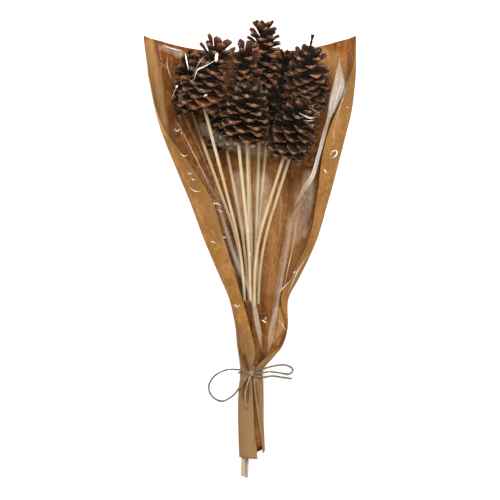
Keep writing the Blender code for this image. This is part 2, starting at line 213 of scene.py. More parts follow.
def addTube(bm, route, radius, sides):
    # A round tube along a route. radius is one number, or one for each point.
    frames = routeFrames(route)
    last = len(route) - 1

    def place(u, v):
        i = round(v * last)
        size = radius[i] if isinstance(radius, list) else radius
        side, up = frames[i]
        turn = math.tau * u
        return route[i] + side * (size * math.cos(turn)) + up * (size * math.sin(turn))

    verts = bendGrid(bm, sides, last, place)
    bmesh.ops.remove_doubles(bm, verts=verts, dist=1e-6)
    return verts


def closeEnds(bm):
    # 40 is more sides than any tube here has.
    bmesh.ops.holes_fill(bm, edges=[edge for edge in bm.edges if edge.is_boundary], sides=40)
    bmesh.ops.recalc_face_normals(bm, faces=bm.faces)


def node(tree, kind, **settings):
    made = tree.nodes.new(kind)
    for name, value in settings.items():
        setattr(made, name, value)
    return made


def wire(tree, source, target):
    tree.links.new(source, target)


def newFinish(name, roughness=0.6, metallic=0.0, specular=0.5):
    finish = bpy.data.materials.new(name)
    finish.use_nodes = True
    shader = finish.node_tree.nodes["Principled BSDF"]
    shader.inputs["Roughness"].default_value = roughness
    shader.inputs["Metallic"].default_value = metallic
    shader.inputs["Specular IOR Level"].default_value = specular
    return finish, finish.node_tree, shader


def noiseNode(tree, vector, scale, detail=3.0, rough=0.55):
    made = node(tree, "ShaderNodeTexNoise")
    made.inputs["Scale"].default_value = scale
    made.inputs["Detail"].default_value = detail
    made.inputs["Roughness"].default_value = rough
    wire(tree, vector, made.inputs["Vector"])
    return made.outputs["Fac"]


def feed(tree, values, sockets):
    # Gives each socket its wire, colour or number.
    for value, socket in zip(values, sockets):
        if isinstance(value, bpy.types.NodeSocket):
            wire(tree, value, socket)
        else:
            socket.default_value = (*value, 1) if isinstance(value, tuple) else value


def mixColours(tree, share, first, second, kind="MIX"):
    made = node(tree, "ShaderNodeMix", data_type="RGBA", blend_type=kind)
    feed(tree, (share, first, second), (made.inputs["Factor"], made.inputs[6], made.inputs[7]))
    return made.outputs[2]


def maths(tree, kind, first, second=0.0, clamp=False):
    made = node(tree, "ShaderNodeMath", operation=kind, use_clamp=clamp)
    feed(tree, (first, second), made.inputs)
    return made.outputs[0]


def times(tree, first, second):
    return maths(tree, "MULTIPLY", first, second)


def plus(tree, first, second):
    return maths(tree, "ADD", first, second)


def offMiddle(tree, pattern):
    # How far a noise is from its middle value, which is next to nothing along thin wandering lines.
    return maths(tree, "ABSOLUTE", maths(tree, "SUBTRACT", pattern, 0.5))


def spread(tree, value, low, high):
    # Stretches the part of a value between low and high to the whole range from 0 to 1.
    made = node(tree, "ShaderNodeMapRange")
    made.inputs["From Min"].default_value = low
    made.inputs["From Max"].default_value = high
    wire(tree, value, made.inputs["Value"])
    return made.outputs["Result"]


def attributeNode(tree, name):
    return node(tree, "ShaderNodeAttribute", attribute_name=name).outputs["Fac"]


def objectPlace(tree, stretch=(1, 1, 1)):
    mapping = node(tree, "ShaderNodeMapping")
    mapping.inputs["Scale"].default_value = stretch
    wire(tree, node(tree, "ShaderNodeTexCoord").outputs["Object"], mapping.inputs["Vector"])
    return mapping.outputs["Vector"]


def addBump(tree, shader, height, strength, distance):
    bump = node(tree, "ShaderNodeBump")
    bump.inputs["Strength"].default_value = strength
    bump.inputs["Distance"].default_value = distance
    wire(tree, height, bump.inputs["Height"])
    wire(tree, bump.outputs["Normal"], shader.inputs["Normal"])


def floorFinish():
    finish, tree, shader = newFinish("pale floor", roughness=0.9, specular=0.1)
    shader.inputs["Base Color"].default_value = (*studio["floorColour"], 1)
    shader.inputs["Emission Color"].default_value = (1, 1, 1, 1)
    shader.inputs["Emission Strength"].default_value = studio["floorGlow"]
    return finish


def densePath(stops, steps=8):
    # Many points along the straight legs between the given ones, to measure distances from.
    fine = []
    for start, end in zip(stops, stops[1:]):
        for step in range(steps):
            t = step / steps
            fine.append([a + (b - a) * t for a, b in zip(start, end)])
    fine.append(list(stops[-1]))
    return np.array(fine)


def fromPath(places, fine):
    # How far each place is from each point of a path, seen from above.
    return np.hypot(places[:, None, 0] - fine[None, :, 0], places[:, None, 1] - fine[None, :, 1])


def paintRoutes(thing, name, bands, level, fade=0.6):
    # Writes an attribute that follows routes given in pixels, as seen at a height of level mm. Past
    # the half width it fades out over the share fade of that.
    count = len(thing.data.vertices)
    places = np.empty(count * 3)
    thing.data.vertices.foreach_get("co", places)
    places = places.reshape(-1, 3) / mm
    values = np.zeros(count)
    for stops, halves, strength in bands:
        fine = densePath([(*underPixel(*stop, level), half) for stop, half in zip(stops, halves)])
        nearest = (fromPath(places, fine) / fine[None, :, 2]).min(axis=1)
        values = np.maximum(values, strength * np.clip(1 + fade - nearest, 0, 1))
    setAttribute(thing, name, values)


def setAttribute(thing, name, values):
    data = thing.data
    layer = data.attributes.get(name) or data.attributes.new(name, "FLOAT", "POINT")
    layer.data.foreach_set("value", np.asarray(values, dtype=np.float32))


def settle(piece, nodeName):
    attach(piece, "root")
    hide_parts(nodeName)


# Wrap and tie shapes that several pieces share, in mm, as in the solid model

wrap = {
    # Place on Y, left and right outline, height, lift, how far the left and right side curl round.
    "sections": [
        (199.5, -106.1, 106.0, 88, 0, 92, 92),
        (170.0, -101.0, 105.5, 88, 0, 95, 108),
        (141.0, -94.5, 102.0, 86, 0, 98, 122),
        (118.0, -88.0, 96.5, 83, 0, 107, 127),
        (90.0, -77.0, 89.5, 78, 0, 124, 129),
        (50.0, -61.5, 78.5, 70, 0, 138, 124),
        (10.0, -46.5, 66.5, 60, 0, 141, 121),
        (-25.0, -32.0, 50.5, 51, 0, 144, 128),
        (-50.0, -21.0, 38.5, 43, 0, 147, 131),
        (-78.0, -14.7, 38.0, 34, 0, 154, 106),
        (-95.0, -13.0, 33.0, 29, 0, 166, 102),
        (-108.0, -11.0, 23.5, 22, 0.6, 176, 143),
        (-117.0, -10.0, 15.5, 18, 1.9, 178, 164),
        (-123.5, -10.0, 12.8, 16.4, 2.5, 180, 172),
        (-130.0, -10.0, 12.8, 17, 1.9, 182, 172),
        (-140.0, -11.0, 13.0, 19, 0.5, 187, 166),
        (-170.0, -12.0, 13.8, 21, 0, 194, 146),
        (-208.0, -11.0, 15.5, 22, 0, 203, 121),
    ],
    "topRise": 15.5, "risePower": 2.4,
    "riseFade": 60.0,
    "flatBack": 0.06,
}


def wrapSection(y):
    rows = wrap["sections"]
    at = min(rows[0][0], max(rows[-1][0], y))
    i = next(k for k in range(len(rows) - 1) if rows[k][0] >= at >= rows[k + 1][0])
    four = [rows[max(i - 1, 0)], rows[i], rows[i + 1], rows[min(i + 2, len(rows) - 1)]]
    span = four[2][0] - four[1][0]
    t = (at - four[1][0]) / span
    values = []
    for column in range(1, 7):
        before, start, end, after = (row[column] for row in four)
        leave = (end - before) / ((four[2][0] - four[0][0]) or 1) * span
        arrive = (after - start) / ((four[3][0] - four[1][0]) or 1) * span
        values.append((2 * t ** 3 - 3 * t ** 2 + 1) * start + (t ** 3 - 2 * t ** 2 + t) * leave
                      + (3 * t ** 2 - 2 * t ** 3) * end + (t ** 3 - t ** 2) * arrive)
    left, right, height, lift, curlLeft, curlRight = values
    return left, right, height, lift, math.radians(curlLeft), math.radians(curlRight)


def sectionPoint(y, turn, inset=0.0):
    left, right, height, lift = wrapSection(y)[:4]
    across, deep = (right - left) / 2 - inset, height / 2 - inset
    sag = wrap["flatBack"] * height / 2
    z = lift + inset + max(0.0, deep * (1 - math.cos(turn)) - sag)
    return Vector(((left + right) / 2 + across * math.sin(turn), y, z))


def wrapPoint(y, side, inset=0.0):
    # side runs from -1 at the paper's left edge over 0 at the back to 1.
    curlLeft, curlRight = wrapSection(y)[4:]
    turn = side * (curlLeft if side < 0 else curlRight)
    point = sectionPoint(y, turn, inset)
    nearTop = max(0.0, 1 - (wrap["sections"][0][0] - y) / wrap["riseFade"])
    point.y += wrap["topRise"] * math.sin(min(abs(turn), math.pi / 2)) ** wrap["risePower"] * nearTop ** 2
    return point


# Twine: a tie round the neck with its knot, two bow loops and two ends

twine = {
    "tieX": 1.5, "tieY": -123.5,
    "radius": 1.0, "seatGap": 0.3,
    "knotSize": (4.4, 3.2, 2.4),
    "knotTurns": [(20, 0.72), (-38, 0.66), (75, 0.6)],      # tilt in degrees, share of its size
    "knotReach": (0.3, 1.15, 0.95),
    "tieSteps": 160, "knotSteps": 60,
    "strands": 3, "twistPitch": 5.2, "strandShare": 0.54, "offsetShare": 0.5, "step": 0.5,
    "looseShare": 0.98, "knotShare": 0.95,                  # of the radius, in the bow and the knot
    # Plain, pale and dark tone of the jute.
    "greyish": ((0.17, 0.14, 0.095), (0.34, 0.275, 0.185), (0.06, 0.047, 0.032)),
    "tawny": ((0.33, 0.205, 0.105), (0.47, 0.33, 0.19), (0.13, 0.075, 0.035)),
    # Routes in mm from the knot: across, towards the cones, and up.
    "routes": {
        "twine_loop_left": ("object", [
            (-4.6, 1.1, 0.0), (-14, 3.2, -0.2), (-26, 2.6, -8.5), (-37, -3.5, -17.0),
            (-43.0, -13.5, -19.3), (-40.0, -23.5, -19.3), (-30.0, -29.0, -19.3), (-19.5, -24.0, -15.5),
            (-11.5, -14.5, -3.6), (-4.4, -3.6, 0.6),
        ]),
        "twine_loop_right": ("object", [
            (4.3, 1.7, 0.0), (13, 4.2, -0.8), (24, 7.0, -9.0), (35, 7.4, -16.5),
            (41.8, 3.4, -19.3), (38.5, -1.6, -19.3), (29.0, -0.4, -14.6), (17.5, 1.0, -4.5),
            (11.0, -0.4, 0.9), (4.9, -0.8, 0.7),
        ]),
        "twine_tail_left": ("bare", [
            (-1.2, -3.7, -0.2), (-4.3, -12, -0.7), (-6.0, -19.0, -0.1), (-6.2, -26, 0.3),
            (-4.6, -35.5, 0.7),
        ]),
        "twine_tail_right": ("bare", [
            (2.9, -3.3, -0.4), (11, -4.6, -1.5), (21, -3.6, -10.0), (32, -5.0, -17.6),
            (41.0, -6.4, -19.4),
        ]),
    },
}


def knotPlace():
    return sectionPoint(twine["tieY"], math.pi, -(twine["knotSize"][2] + twine["seatGap"]))


def twineFinish(name, plain, pale, dark):
    finish, tree, shader = newFinish(name, roughness=0.9, specular=0.1)
    place = objectPlace(tree)
    fibres = noiseNode(tree, place, 900, 4.0, 0.7)
    patches = noiseNode(tree, place, 90, 2.0)
    base = mixColours(tree, spread(tree, patches, 0.35, 0.65), plain, pale)
    base = mixColours(tree, spread(tree, fibres, 0.62, 0.38), base, dark)
    wire(tree, base, shader.inputs["Base Color"])
    addBump(tree, shader, fibres, 0.8, 0.0003)
    return finish


def twistStrands(bm, route, share=1.0, phase=0.0):
    # Round strands that wind about each other along a route in metres. share thins them.
    frames = routeFrames(route)
    radius, pitch = twine["radius"] * mm * share, twine["twistPitch"] * mm
    step = routeLength(route) / (len(route) - 1)
    for k in range(twine["strands"]):
        strand = []
        for i, (point, (side, up)) in enumerate(zip(route, frames)):
            turn = math.tau * (i * step / pitch + k / twine["strands"]) + phase
            outwards = side * math.cos(turn) + up * math.sin(turn)
            strand.append(point + outwards * radius * twine["offsetShare"])
        addTube(bm, strand, radius * twine["strandShare"], 6)


def makeTwine():
    greyish = twineFinish("twisted jute", *twine["greyish"])
    tawny = twineFinish("pale jute", *twine["tawny"])
    knot = knotPlace()
    for name, (farEnd, stops) in twine["routes"].items():
        path = smoothRoute([(knot + Vector(stop)) * mm for stop in stops], twine["step"] * mm)
        bm = newMesh()
        twistStrands(bm, path, twine["looseShare"])
        closeEnds(bm)
        finish = tawny if name == "twine_tail_left" else greyish
        piece = addPiece(name.replace("twine_", "twisted_"), bm, finish)
        settle(piece, name)
        routeLength(path)

    bm = newMesh()
    outside = -(twine["radius"] + twine["seatGap"])
    steps = twine["tieSteps"]
    ring = [sectionPoint(twine["tieY"], math.tau * k / steps, outside) * mm for k in range(steps + 1)]
    twistStrands(bm, evenRoute(ring, twine["step"] * mm))
    # The knot: three short turns over and under the tie, drawn into one lump.
    reachX, reachY, reachZ = (size * share * mm
                              for size, share in zip(twine["knotSize"], twine["knotReach"]))
    steps = twine["knotSteps"]
    for k, (tilt, share) in enumerate(twine["knotTurns"]):
        turned = Matrix.Translation(knot * mm) @ Matrix.Rotation(math.radians(tilt), 4, "Z")
        loop = [turned @ Vector((reachX * math.sin(2 * t), reachY * share * math.cos(t),
                                 reachZ * share * math.sin(t)))
                for t in (math.tau * step / steps for step in range(steps + 1))]
        twistStrands(bm, loop, twine["knotShare"], phase=k)
    bmesh.ops.remove_doubles(bm, verts=bm.verts, dist=1e-7)
    closeEnds(bm)
    tie = addPiece("tie_and_knot", bm, tawny)
    settle(tie, "twine_tie")
    print("twine: tie, knot, two loops and two ends")


# Pine cones

cones = {
    # Stem end and tip in mm, widest radius, scales, which way they wind, how far the scales lean
    # back towards the stem in degrees, and how reddish the cone is.
    "front_left": ((-50, 142, 84), (-28, 211, 87), 27, 72, 1, 12, 0.5),
    "back_left": ((-58, 138, 36), (-61, 197, 38), 22, 60, -1, 6, 0.2),
    "centre": ((-8, 151, 74.5), (-5, 204, 103), 23.5, 50, 1, 14, 0.9),
    "front_centre": ((-7.5, 110, 92), (0, 164, 106), 26.5, 64, -1, 2, 0.15),
    "tall": ((11, 163, 55), (15, 230.5, 46), 22, 74, 1, 6, 0.45),
    "back_centre": ((-2, 122, 28), (-3, 184, 30), 22, 58, -1, 4, 0.1),
    "upper_right": ((56, 145, 60), (59, 201, 84), 25.5, 66, -1, 8, 0.4),
    "front_right": ((35.5, 99, 80), (56, 148, 97.5), 26.5, 60, -1, 16, 0.1),
    "back_right": ((18, 121, 27), (45, 203, 31), 23, 66, 1, 2, 0.1),
    "low_left": ((-24, 105, 25), (-37, 158, 24), 22, 58, 1, 4, 0.2),
}
coneShape = {
    "seed": 11,
    "goldenAngle": 137.508,     # degrees from each scale to the next
    # One scale, a unit long: half its width along it, how far its end is rounded and its sides
    # are cupped, its thickness at the root, what the end adds to that and what the sides lose.
    "stations": [(0.0, 0.22), (0.4, 0.34), (0.68, 0.47), (0.86, 0.5), (0.95, 0.47), (1.0, 0.37)],
    "rounded": 0.14, "cupped": 0.34, "thick": (0.55, 0.6, 0.72), "undercut": 0.035,
    # Where along a scale it gets thick and cupped, and where the finish changes.
    "thickSpan": (0.45, 0.92), "cupSpan": (0.2, 0.8), "depthSpan": (0.42, 0.9),
    "rimSpan": (0.92, 1.0), "lowRimSpan": (0.84, 0.96), "sideRimSpan": (0.6, 0.85),
    # From the stem end to the tip: a scale's reach and width beside the cone's radius, and the
    # degrees that it rises. The span is where along the core the scales sit.
    "span": (0.03, 0.97),
    "outline": [(0.0, 0.74), (0.1, 0.93), (0.3, 1.0), (0.6, 0.94), (0.85, 0.7), (1.0, 0.44)],
    "widths": [(0.0, 0.52), (0.15, 0.62), (0.35, 0.64), (0.6, 0.58), (0.8, 0.44), (1.0, 0.26)],
    "rises": [(0.0, -14.0), (0.2, -2.0), (0.45, 8.0), (0.7, 22.0), (0.86, 40.0), (1.0, 70.0)],
    "lowestRise": -15.0, "leanFade": (0.55, 0.95),
    # How much the scales differ.
    "riseSpread": (-5, 5), "reachSpread": (0.93, 1.0), "widthSpread": (0.92, 1.06),
    "bendSpread": (-0.02, 0.10), "yawSpread": (-6, 6), "rollSpread": (-8, 8),
    "toneSpread": (0.15, 0.85), "warmSpread": (-5.0, 1.0),
    "rootShare": 0.09, "stemBend": 0.07,
    "thickness": 3.1, "fullRadius": 26,                     # the radius of a cone that has it in full
    "leastCosine": 0.55, "leastSine": 0.2,                  # these keep steep and flat scales short
    # Where a scale would press on a neighbouring cone, it is made shorter and narrower step by step.
    "neighbourGap": 0.4, "tries": 14, "shorter": 0.94, "narrower": 0.98,
    "probes": [(1, 0), (0.86, 0.5), (0.86, -0.5), (0.6, 0)],
    # The core: its length beside the cone's, its radius at both ends beside the cone's.
    "coreLength": 0.84, "coreWide": 0.36, "coreNarrow": 0.17, "coreSunk": 0.94, "coreTone": 0.3,
    "towardsCamera": 0.3,       # how much a scale's height counts in the choice of the reddest ones
    "sharpAngle": 55,
}
coneColours = {
    # Near black: painted shade at the scale roots and on the core, and the twigs' own dark colour.
    "root": (0.010, 0.005, 0.003),
    "face": (0.110, 0.034, 0.016),
    "darkFace": (0.028, 0.012, 0.007),
    "rim": (0.31, 0.165, 0.078),
    "darkRim": (0.11, 0.048, 0.022),
    "edge": (0.46, 0.31, 0.18),
    "orange": (0.31, 0.066, 0.022),
    "dimTone": (0.45, 0.45, 0.45), "fullTone": (1.15, 1.15, 1.15),
    "reddest": {                # pixels where a fresh reddish scale shows, and how strongly
        "upper_right": [(322, 70, 0.9), (317, 68, 0.6)],
        "centre": [(234, 64, 0.6), (229, 58, 0.4), (240, 74, 0.3)],
        "tall": [(258, 47, 0.35)],
        "front_left": [(186, 108, 0.35), (200, 113, 0.45), (213, 106, 0.4), (192, 112, 0.3)],
        "front_centre": [(226, 118, 0.3), (262, 104, 0.25)],
    },
    # Painted shade: how light a cone that lies deeper is painted beside the others.
    "deeperShade": {
        "back_right": 0.25, "back_centre": 0.4, "back_left": 0.75, "low_left": 0.8, "tall": 0.85,
    },
    # How tan the ends of the scales are, 0.9 where no other number is given.
    "paleness": {
        "front_left": 0.7, "front_right": 0.65, "centre": 0.6, "back_centre": 0.4, "back_right": 0.3,
    },
}
coneTwigs = {                   # stub of twig left on a cone: its route in mm and its radius
    "upper_right": ([(58.5, 190, 82), (59.5, 199, 84), (61, 207, 85.5), (62.5, 214, 86)], 1.25),
    "back_left": ([(-59, 183, 38), (-61, 190, 39), (-62, 195.5, 41), (-59, 199, 43)], 1.3),
}


def scaleTemplate():
    # One scale, a unit long and wide: a narrow root at the origin, a broad shoulder and a thick
    # rounded end whose cross-section is a crescent. Its root runs along X, its upper face is +Z.
    stations, rounded = coneShape["stations"], coneShape["rounded"]
    thin, endSwell, sideLoss = coneShape["thick"]
    steps = len(stations) - 1
    bm = bmesh.new()
    made = bmesh.ops.create_grid(bm, x_segments=steps, y_segments=4, size=0.5)
    for vert in made["verts"]:
        along, half = stations[round((vert.co.x + 0.5) * steps)]
        t = vert.co.y * 2
        vert.co = (along - rounded * t * t * along ** 3, t * half, 0)
    top = list(bm.verts)
    out = bmesh.ops.extrude_face_region(bm, geom=bm.faces[:])
    low = [thing for thing in out["geom"] if isinstance(thing, bmesh.types.BMVert)]
    for vert in top + low:
        along, t = vert.co.x, vert.co.y / 0.5
        thick = thin + endSwell * easeStep(*coneShape["thickSpan"], along)
        thick *= 1 - sideLoss * min(1.0, t * t)
        vert.co.z = coneShape["cupped"] * t * t * easeStep(*coneShape["cupSpan"], along)
        if vert in low:
            vert.co.z -= thick
            if along > 0.93:
                vert.co.x -= coneShape["undercut"]
    bmesh.ops.recalc_face_normals(bm, faces=bm.faces)
    bm.verts.index_update()
    # Marks for the finish: the tan end, how far out from the root, which sets the painted shade near the
    # root, and the pale edge.
    marks = {"rim": [], "depth": [], "edge": []}
    lowSet = set(low)
    for vert in bm.verts:
        along, t = vert.co.x, abs(vert.co.y) / 0.5
        rim = easeStep(*coneShape["lowRimSpan" if vert in lowSet else "rimSpan"], along)
        sideRim = 0.6 * easeStep(0.85, 0.99, t) * easeStep(*coneShape["sideRimSpan"], along)
        marks["rim"].append(max(rim, sideRim))
        marks["depth"].append(easeStep(*coneShape["depthSpan"], along))
        onEdge = along > 0.99 - rounded * t * t or t > 0.6 and along > 0.74
        marks["edge"].append(1.0 if onEdge and vert not in lowSet else 0.6 if along > 0.94 else 0.0)
    data = bpy.data.meshes.new("scaleTemplate")
    bm.to_mesh(data)
    bm.free()
    return data, marks


def coneEnds(name):
    stem, tip = cones[name][:2]
    return Vector(stem) * mm, Vector(tip) * mm


def coneLine(name):
    # Stem end, axis, its length squared, and the widest radius, for axisDistance.
    stem, tip = coneEnds(name)
    return stem, tip - stem, (tip - stem).length_squared, cones[name][2] * mm


coneLines = {name: coneLine(name) for name in cones}


def axisDistance(point, name):
    # Distance to a cone's axis as a share of its radius.
    stem, along, lengthSquared, radius = coneLines[name]
    share = min(1.0, max(0.0, (point - stem).dot(along) / lengthSquared))
    return (point - (stem + along * share)).length / radius


def pressesNeighbour(point, name):
    radius = coneLines[name][3]
    own = axisDistance(point, name) + coneShape["neighbourGap"] * mm / radius
    return any(axisDistance(point, other) < own for other in cones if other != name)


def coneFrame(name):
    stem, tip = coneEnds(name)
    return Matrix.Translation(stem) @ (tip - stem).to_track_quat("Z", "Y").to_matrix().to_4x4()


def coneFinish(name, redness, paleness):
    finish, tree, shader = newFinish("cone scales " + name, roughness=0.75, specular=0.08)
    place = objectPlace(tree)
    rim, depth = attributeNode(tree, "rim"), attributeNode(tree, "depth")
    toneAndShade, warm = attributeNode(tree, "toneAndShade"), attributeNode(tree, "warm")
    mottle = noiseNode(tree, place, 260, 4.0, 0.65)
    patches = noiseNode(tree, place, 70, 2.0)
    reddish = spread(tree, plus(tree, patches, (redness - 0.5) * 0.35), 0.4, 0.62)
    face = mixColours(tree, reddish, coneColours["darkFace"], coneColours["face"])
    face = mixColours(tree, warm, face, coneColours["orange"])
    worn = mixColours(tree, spread(tree, mottle, 0.36, 0.6), coneColours["darkRim"], coneColours["rim"])
    end = spread(tree, plus(tree, rim, times(tree, mottle, 0.25)), 0.4, 1.0)
    scale = mixColours(tree, end, face, mixColours(tree, paleness, face, worn))
    border = plus(tree, attributeNode(tree, "edge"), times(tree, mottle, 0.3))
    border = times(tree, spread(tree, border, 0.8, 1.15), 0.7)
    scale = mixColours(tree, border, scale, coneColours["edge"])
    # Painted shade: each scale turns near black towards its root, between the scales.
    scale = mixColours(tree, depth, coneColours["root"], scale)
    shade = mixColours(tree, toneAndShade, coneColours["dimTone"], coneColours["fullTone"])
    wire(tree, mixColours(tree, 1.0, scale, shade, "MULTIPLY"), shader.inputs["Base Color"])
    addBump(tree, shader, mottle, 0.45, 0.0006)
    return finish


def addTwig(bm, route, radius):
    # A knobbly stub that ends in a thicker bud.
    points = smoothRoute([Vector(point) * mm for point in route], 1.5 * mm)
    bud = len(points) - 3
    sizes = [radius * mm * (1.0 + 0.25 * math.sin(i * 1.9) + 0.5 * max(0, i - bud))
             for i in range(len(points))]
    addTube(bm, points, sizes, 7)
    bmesh.ops.holes_fill(bm, edges=[edge for edge in bm.edges if edge.is_boundary], sides=20)


def makeCone(name, seed, template, marks):
    _, _, radius, count, hand, lean, redness = cones[name]
    draw = random.Random(coneShape["seed"] + seed)
    radius *= mm
    stem, tip = coneEnds(name)
    length = (tip - stem).length
    coreLength = length * coneShape["coreLength"]
    frameOfCone = coneFrame(name)
    turned = draw.uniform(0, math.tau)
    step = hand * math.radians(coneShape["goldenAngle"])
    firstPlace, lastPlace = coneShape["span"]
    root = radius * coneShape["rootShare"]
    bm = bmesh.new()
    tonesAndShade, warms, tips = [], [], []
    for i in range(count):
        share = (i + 0.5) / count
        rise = blend(coneShape["rises"], share) - lean * (1 - easeStep(*coneShape["leanFade"], share))
        rise = max(rise, coneShape["lowestRise"]) + draw.uniform(*coneShape["riseSpread"])
        rise = math.radians(rise)
        reach = radius * blend(coneShape["outline"], share) * draw.uniform(*coneShape["reachSpread"])
        width = radius * blend(coneShape["widths"], share) * draw.uniform(*coneShape["widthSpread"])
        height = coreLength * (firstPlace + (lastPlace - firstPlace) * share)
        # A flat scale reaches the cone's outline, and a steep one its tip.
        blade = min((reach - root) / max(math.cos(rise), coneShape["leastCosine"]),
                    (length - height) / max(math.sin(rise), coneShape["leastSine"]))
        bend = draw.uniform(*coneShape["bendSpread"]) - coneShape["stemBend"] * (1 - share)
        yaw = math.radians(draw.uniform(*coneShape["yawSpread"]))
        roll = math.radians(draw.uniform(*coneShape["rollSpread"]))
        place = (frameOfCone @ Matrix.Rotation(turned + i * step, 4, "Z")
                 @ Matrix.Translation((root, 0, height)) @ Matrix.Rotation(-rise, 4, "Y")
                 @ Matrix.Rotation(yaw, 4, "Z") @ Matrix.Rotation(roll, 4, "X"))
        for _ in range(coneShape["tries"]):
            probes = [Vector((blade * a, width * b, blade * bend * a * a))
                      for a, b in coneShape["probes"]]
            if not any(pressesNeighbour(place @ probe, name) for probe in probes):
                break
            blade *= coneShape["shorter"]
            width *= coneShape["narrower"]
        start = len(bm.verts)
        bm.from_mesh(template)
        bm.verts.ensure_lookup_table()
        fresh = bm.verts[start:]
        # Thinner on a small cone and towards the tip.
        size = radius / (coneShape["fullRadius"] * mm)
        thick = coneShape["thickness"] * mm * (0.7 + 0.3 * size) * (1 - 0.25 * share)
        for vert in fresh:
            x, y, z = vert.co
            vert.co = (x * blade, y * width, z * thick + bend * x * x * blade)
        bmesh.ops.transform(bm, matrix=place, verts=fresh)
        # Each scale's tone is random, times the painted shade of a cone that lies deeper.
        tonesAndShade.append(draw.uniform(*coneShape["toneSpread"]) * coneColours["deeperShade"].get(name, 1.0))
        warms.append(max(0.0, draw.uniform(*coneShape["warmSpread"])) * 0.5 * redness)
        tips.append(place @ Vector((blade, 0, 0)) / mm)

    for px, py, strength in coneColours["reddest"].get(name, []):
        def farFromPixel(k):
            aside = tips[k].xy - Vector(underPixel(px, py, tips[k].z))
            return aside.length - coneShape["towardsCamera"] * tips[k].z

        warms[min(range(count), key=farFromPixel)] = strength

    scaleVerts = len(bm.verts)
    core = bmesh.ops.create_cone(bm, cap_ends=True, segments=14, radius1=radius * coneShape["coreWide"],
                                 radius2=radius * coneShape["coreNarrow"],
                                 depth=coreLength * coneShape["coreSunk"])
    middle = Matrix.Translation((0, 0, coreLength * 0.49))
    bmesh.ops.transform(bm, matrix=frameOfCone @ middle, verts=core["verts"])
    if name in coneTwigs:
        addTwig(bm, *coneTwigs[name])
    extra = len(bm.verts) - scaleVerts
    finish = coneFinish(name, redness, coneColours["paleness"].get(name, 0.9))
    thing = addPiece("cone_" + name, bm, finish)
    thing.data.set_sharp_from_angle(angle=math.radians(coneShape["sharpAngle"]))
    for key in ("rim", "depth", "edge"):
        setAttribute(thing, key, marks[key] * count + [0.0] * extra)
    per = len(marks["rim"])
    setAttribute(thing, "toneAndShade", list(np.repeat(tonesAndShade, per)) + [coneShape["coreTone"]] * extra)
    setAttribute(thing, "warm", list(np.repeat(warms, per)) + [0.0] * extra)
    settle(thing, "pine_cone_" + name)


def makeCones():
    template, marks = scaleTemplate()
    for seed, name in enumerate(cones):
        makeCone(name, seed, template, marks)
    bpy.data.meshes.remove(template)
    print("cones:", len(cones))


# Sticks

sticks = {
    "radius": 1.62, "wobble": 0.12, "endSwell": 0.22, "swellSpan": (185, 215),
    "pitch": 3.8, "socketDepth": 8.0, "socketEndGap": 0.3,
    "gatherY": -88.0, "bend": 36.0, "bundleBottom": 6.4, "bundleLean": 0.03,
    # Place in the bundle across and up, where each crosses Y = 0, its end on Y, and how far
    # beside the stem it enters the cone.
    "rows": {
        "front_left": (-1.5, 2, -8.5, -228.0, 4.5),
        "front_centre": (-0.5, 2, -0.5, -196.0, -4.5),
        "front_right": (0.5, 2, 4.5, -137.0, 0),
        "centre": (-1.0, 1, 0.0, -200.0, 3.6),
        "tall": (0.0, 1, 5.5, -150.0, 0),
        "upper_right": (1.0, 1, 10.8, -141.0, 0),
        "back_left": (-1.5, 0, -9.0, -226.0, 0),
        "low_left": (-0.5, 0, -4.4, -229.5, 0),
        "back_centre": (0.5, 0, 1.8, -180.0, 0),
        "back_right": (1.5, 0, 6.4, -172.0, 0),
    },
    "pale": (0.56, 0.42, 0.25), "straw": (0.43, 0.30, 0.155), "grain": (0.22, 0.135, 0.06),
    "dullEnd": (0.33, 0.25, 0.145), "dullSpan": (-0.17, -0.21), "shadow": (0.055, 0.024, 0.010),
    # Sticks that lie in the shade under the cones: from which Y on, over the range of shadeEdge.
    "shaded": {"back_left": 112, "tall": 134, "low_left": 104, "back_centre": 112, "back_right": 112},
    "shadeEdge": (-10, 3), "shadeDepth": 0.85,
}


def bundlePlace(name, y):
    # Where a stick lies in the bundle, whose rows are stacked like round logs.
    across, up = sticks["rows"][name][:2]
    lean = (y - twine["tieY"]) * sticks["bundleLean"]
    return Vector((twine["tieX"] + across * sticks["pitch"] + lean, y,
                   sticks["bundleBottom"] + up * sticks["pitch"] * math.sqrt(0.75)))


def stickRoute(name, steps=8):
    # From the socket in the cone over a soft bend at Y = 0 and one at the bundle to the lower end.
    row = sticks["rows"][name]
    top = Vector(cones[name][0]) + Vector((row[4], 0, 0))
    gather = bundlePlace(name, sticks["gatherY"])
    waist = gather.lerp(top, -gather.y / (top.y - gather.y))
    waist.x = row[2]
    heading = (waist - top).normalized()
    corners = [top - heading * (sticks["socketDepth"] - sticks["socketEndGap"]), waist, gather,
               bundlePlace(name, row[3])]
    route = [corners[0]]
    for before, corner, after in zip(corners, corners[1:], corners[2:]):
        start = corner + (before - corner).normalized() * sticks["bend"]
        end = corner + (after - corner).normalized() * sticks["bend"]
        for step in range(steps + 1):
            t = step / steps
            route.append(start.lerp(corner, t).lerp(corner.lerp(end, t), t))
    return [*route, corners[-1]]


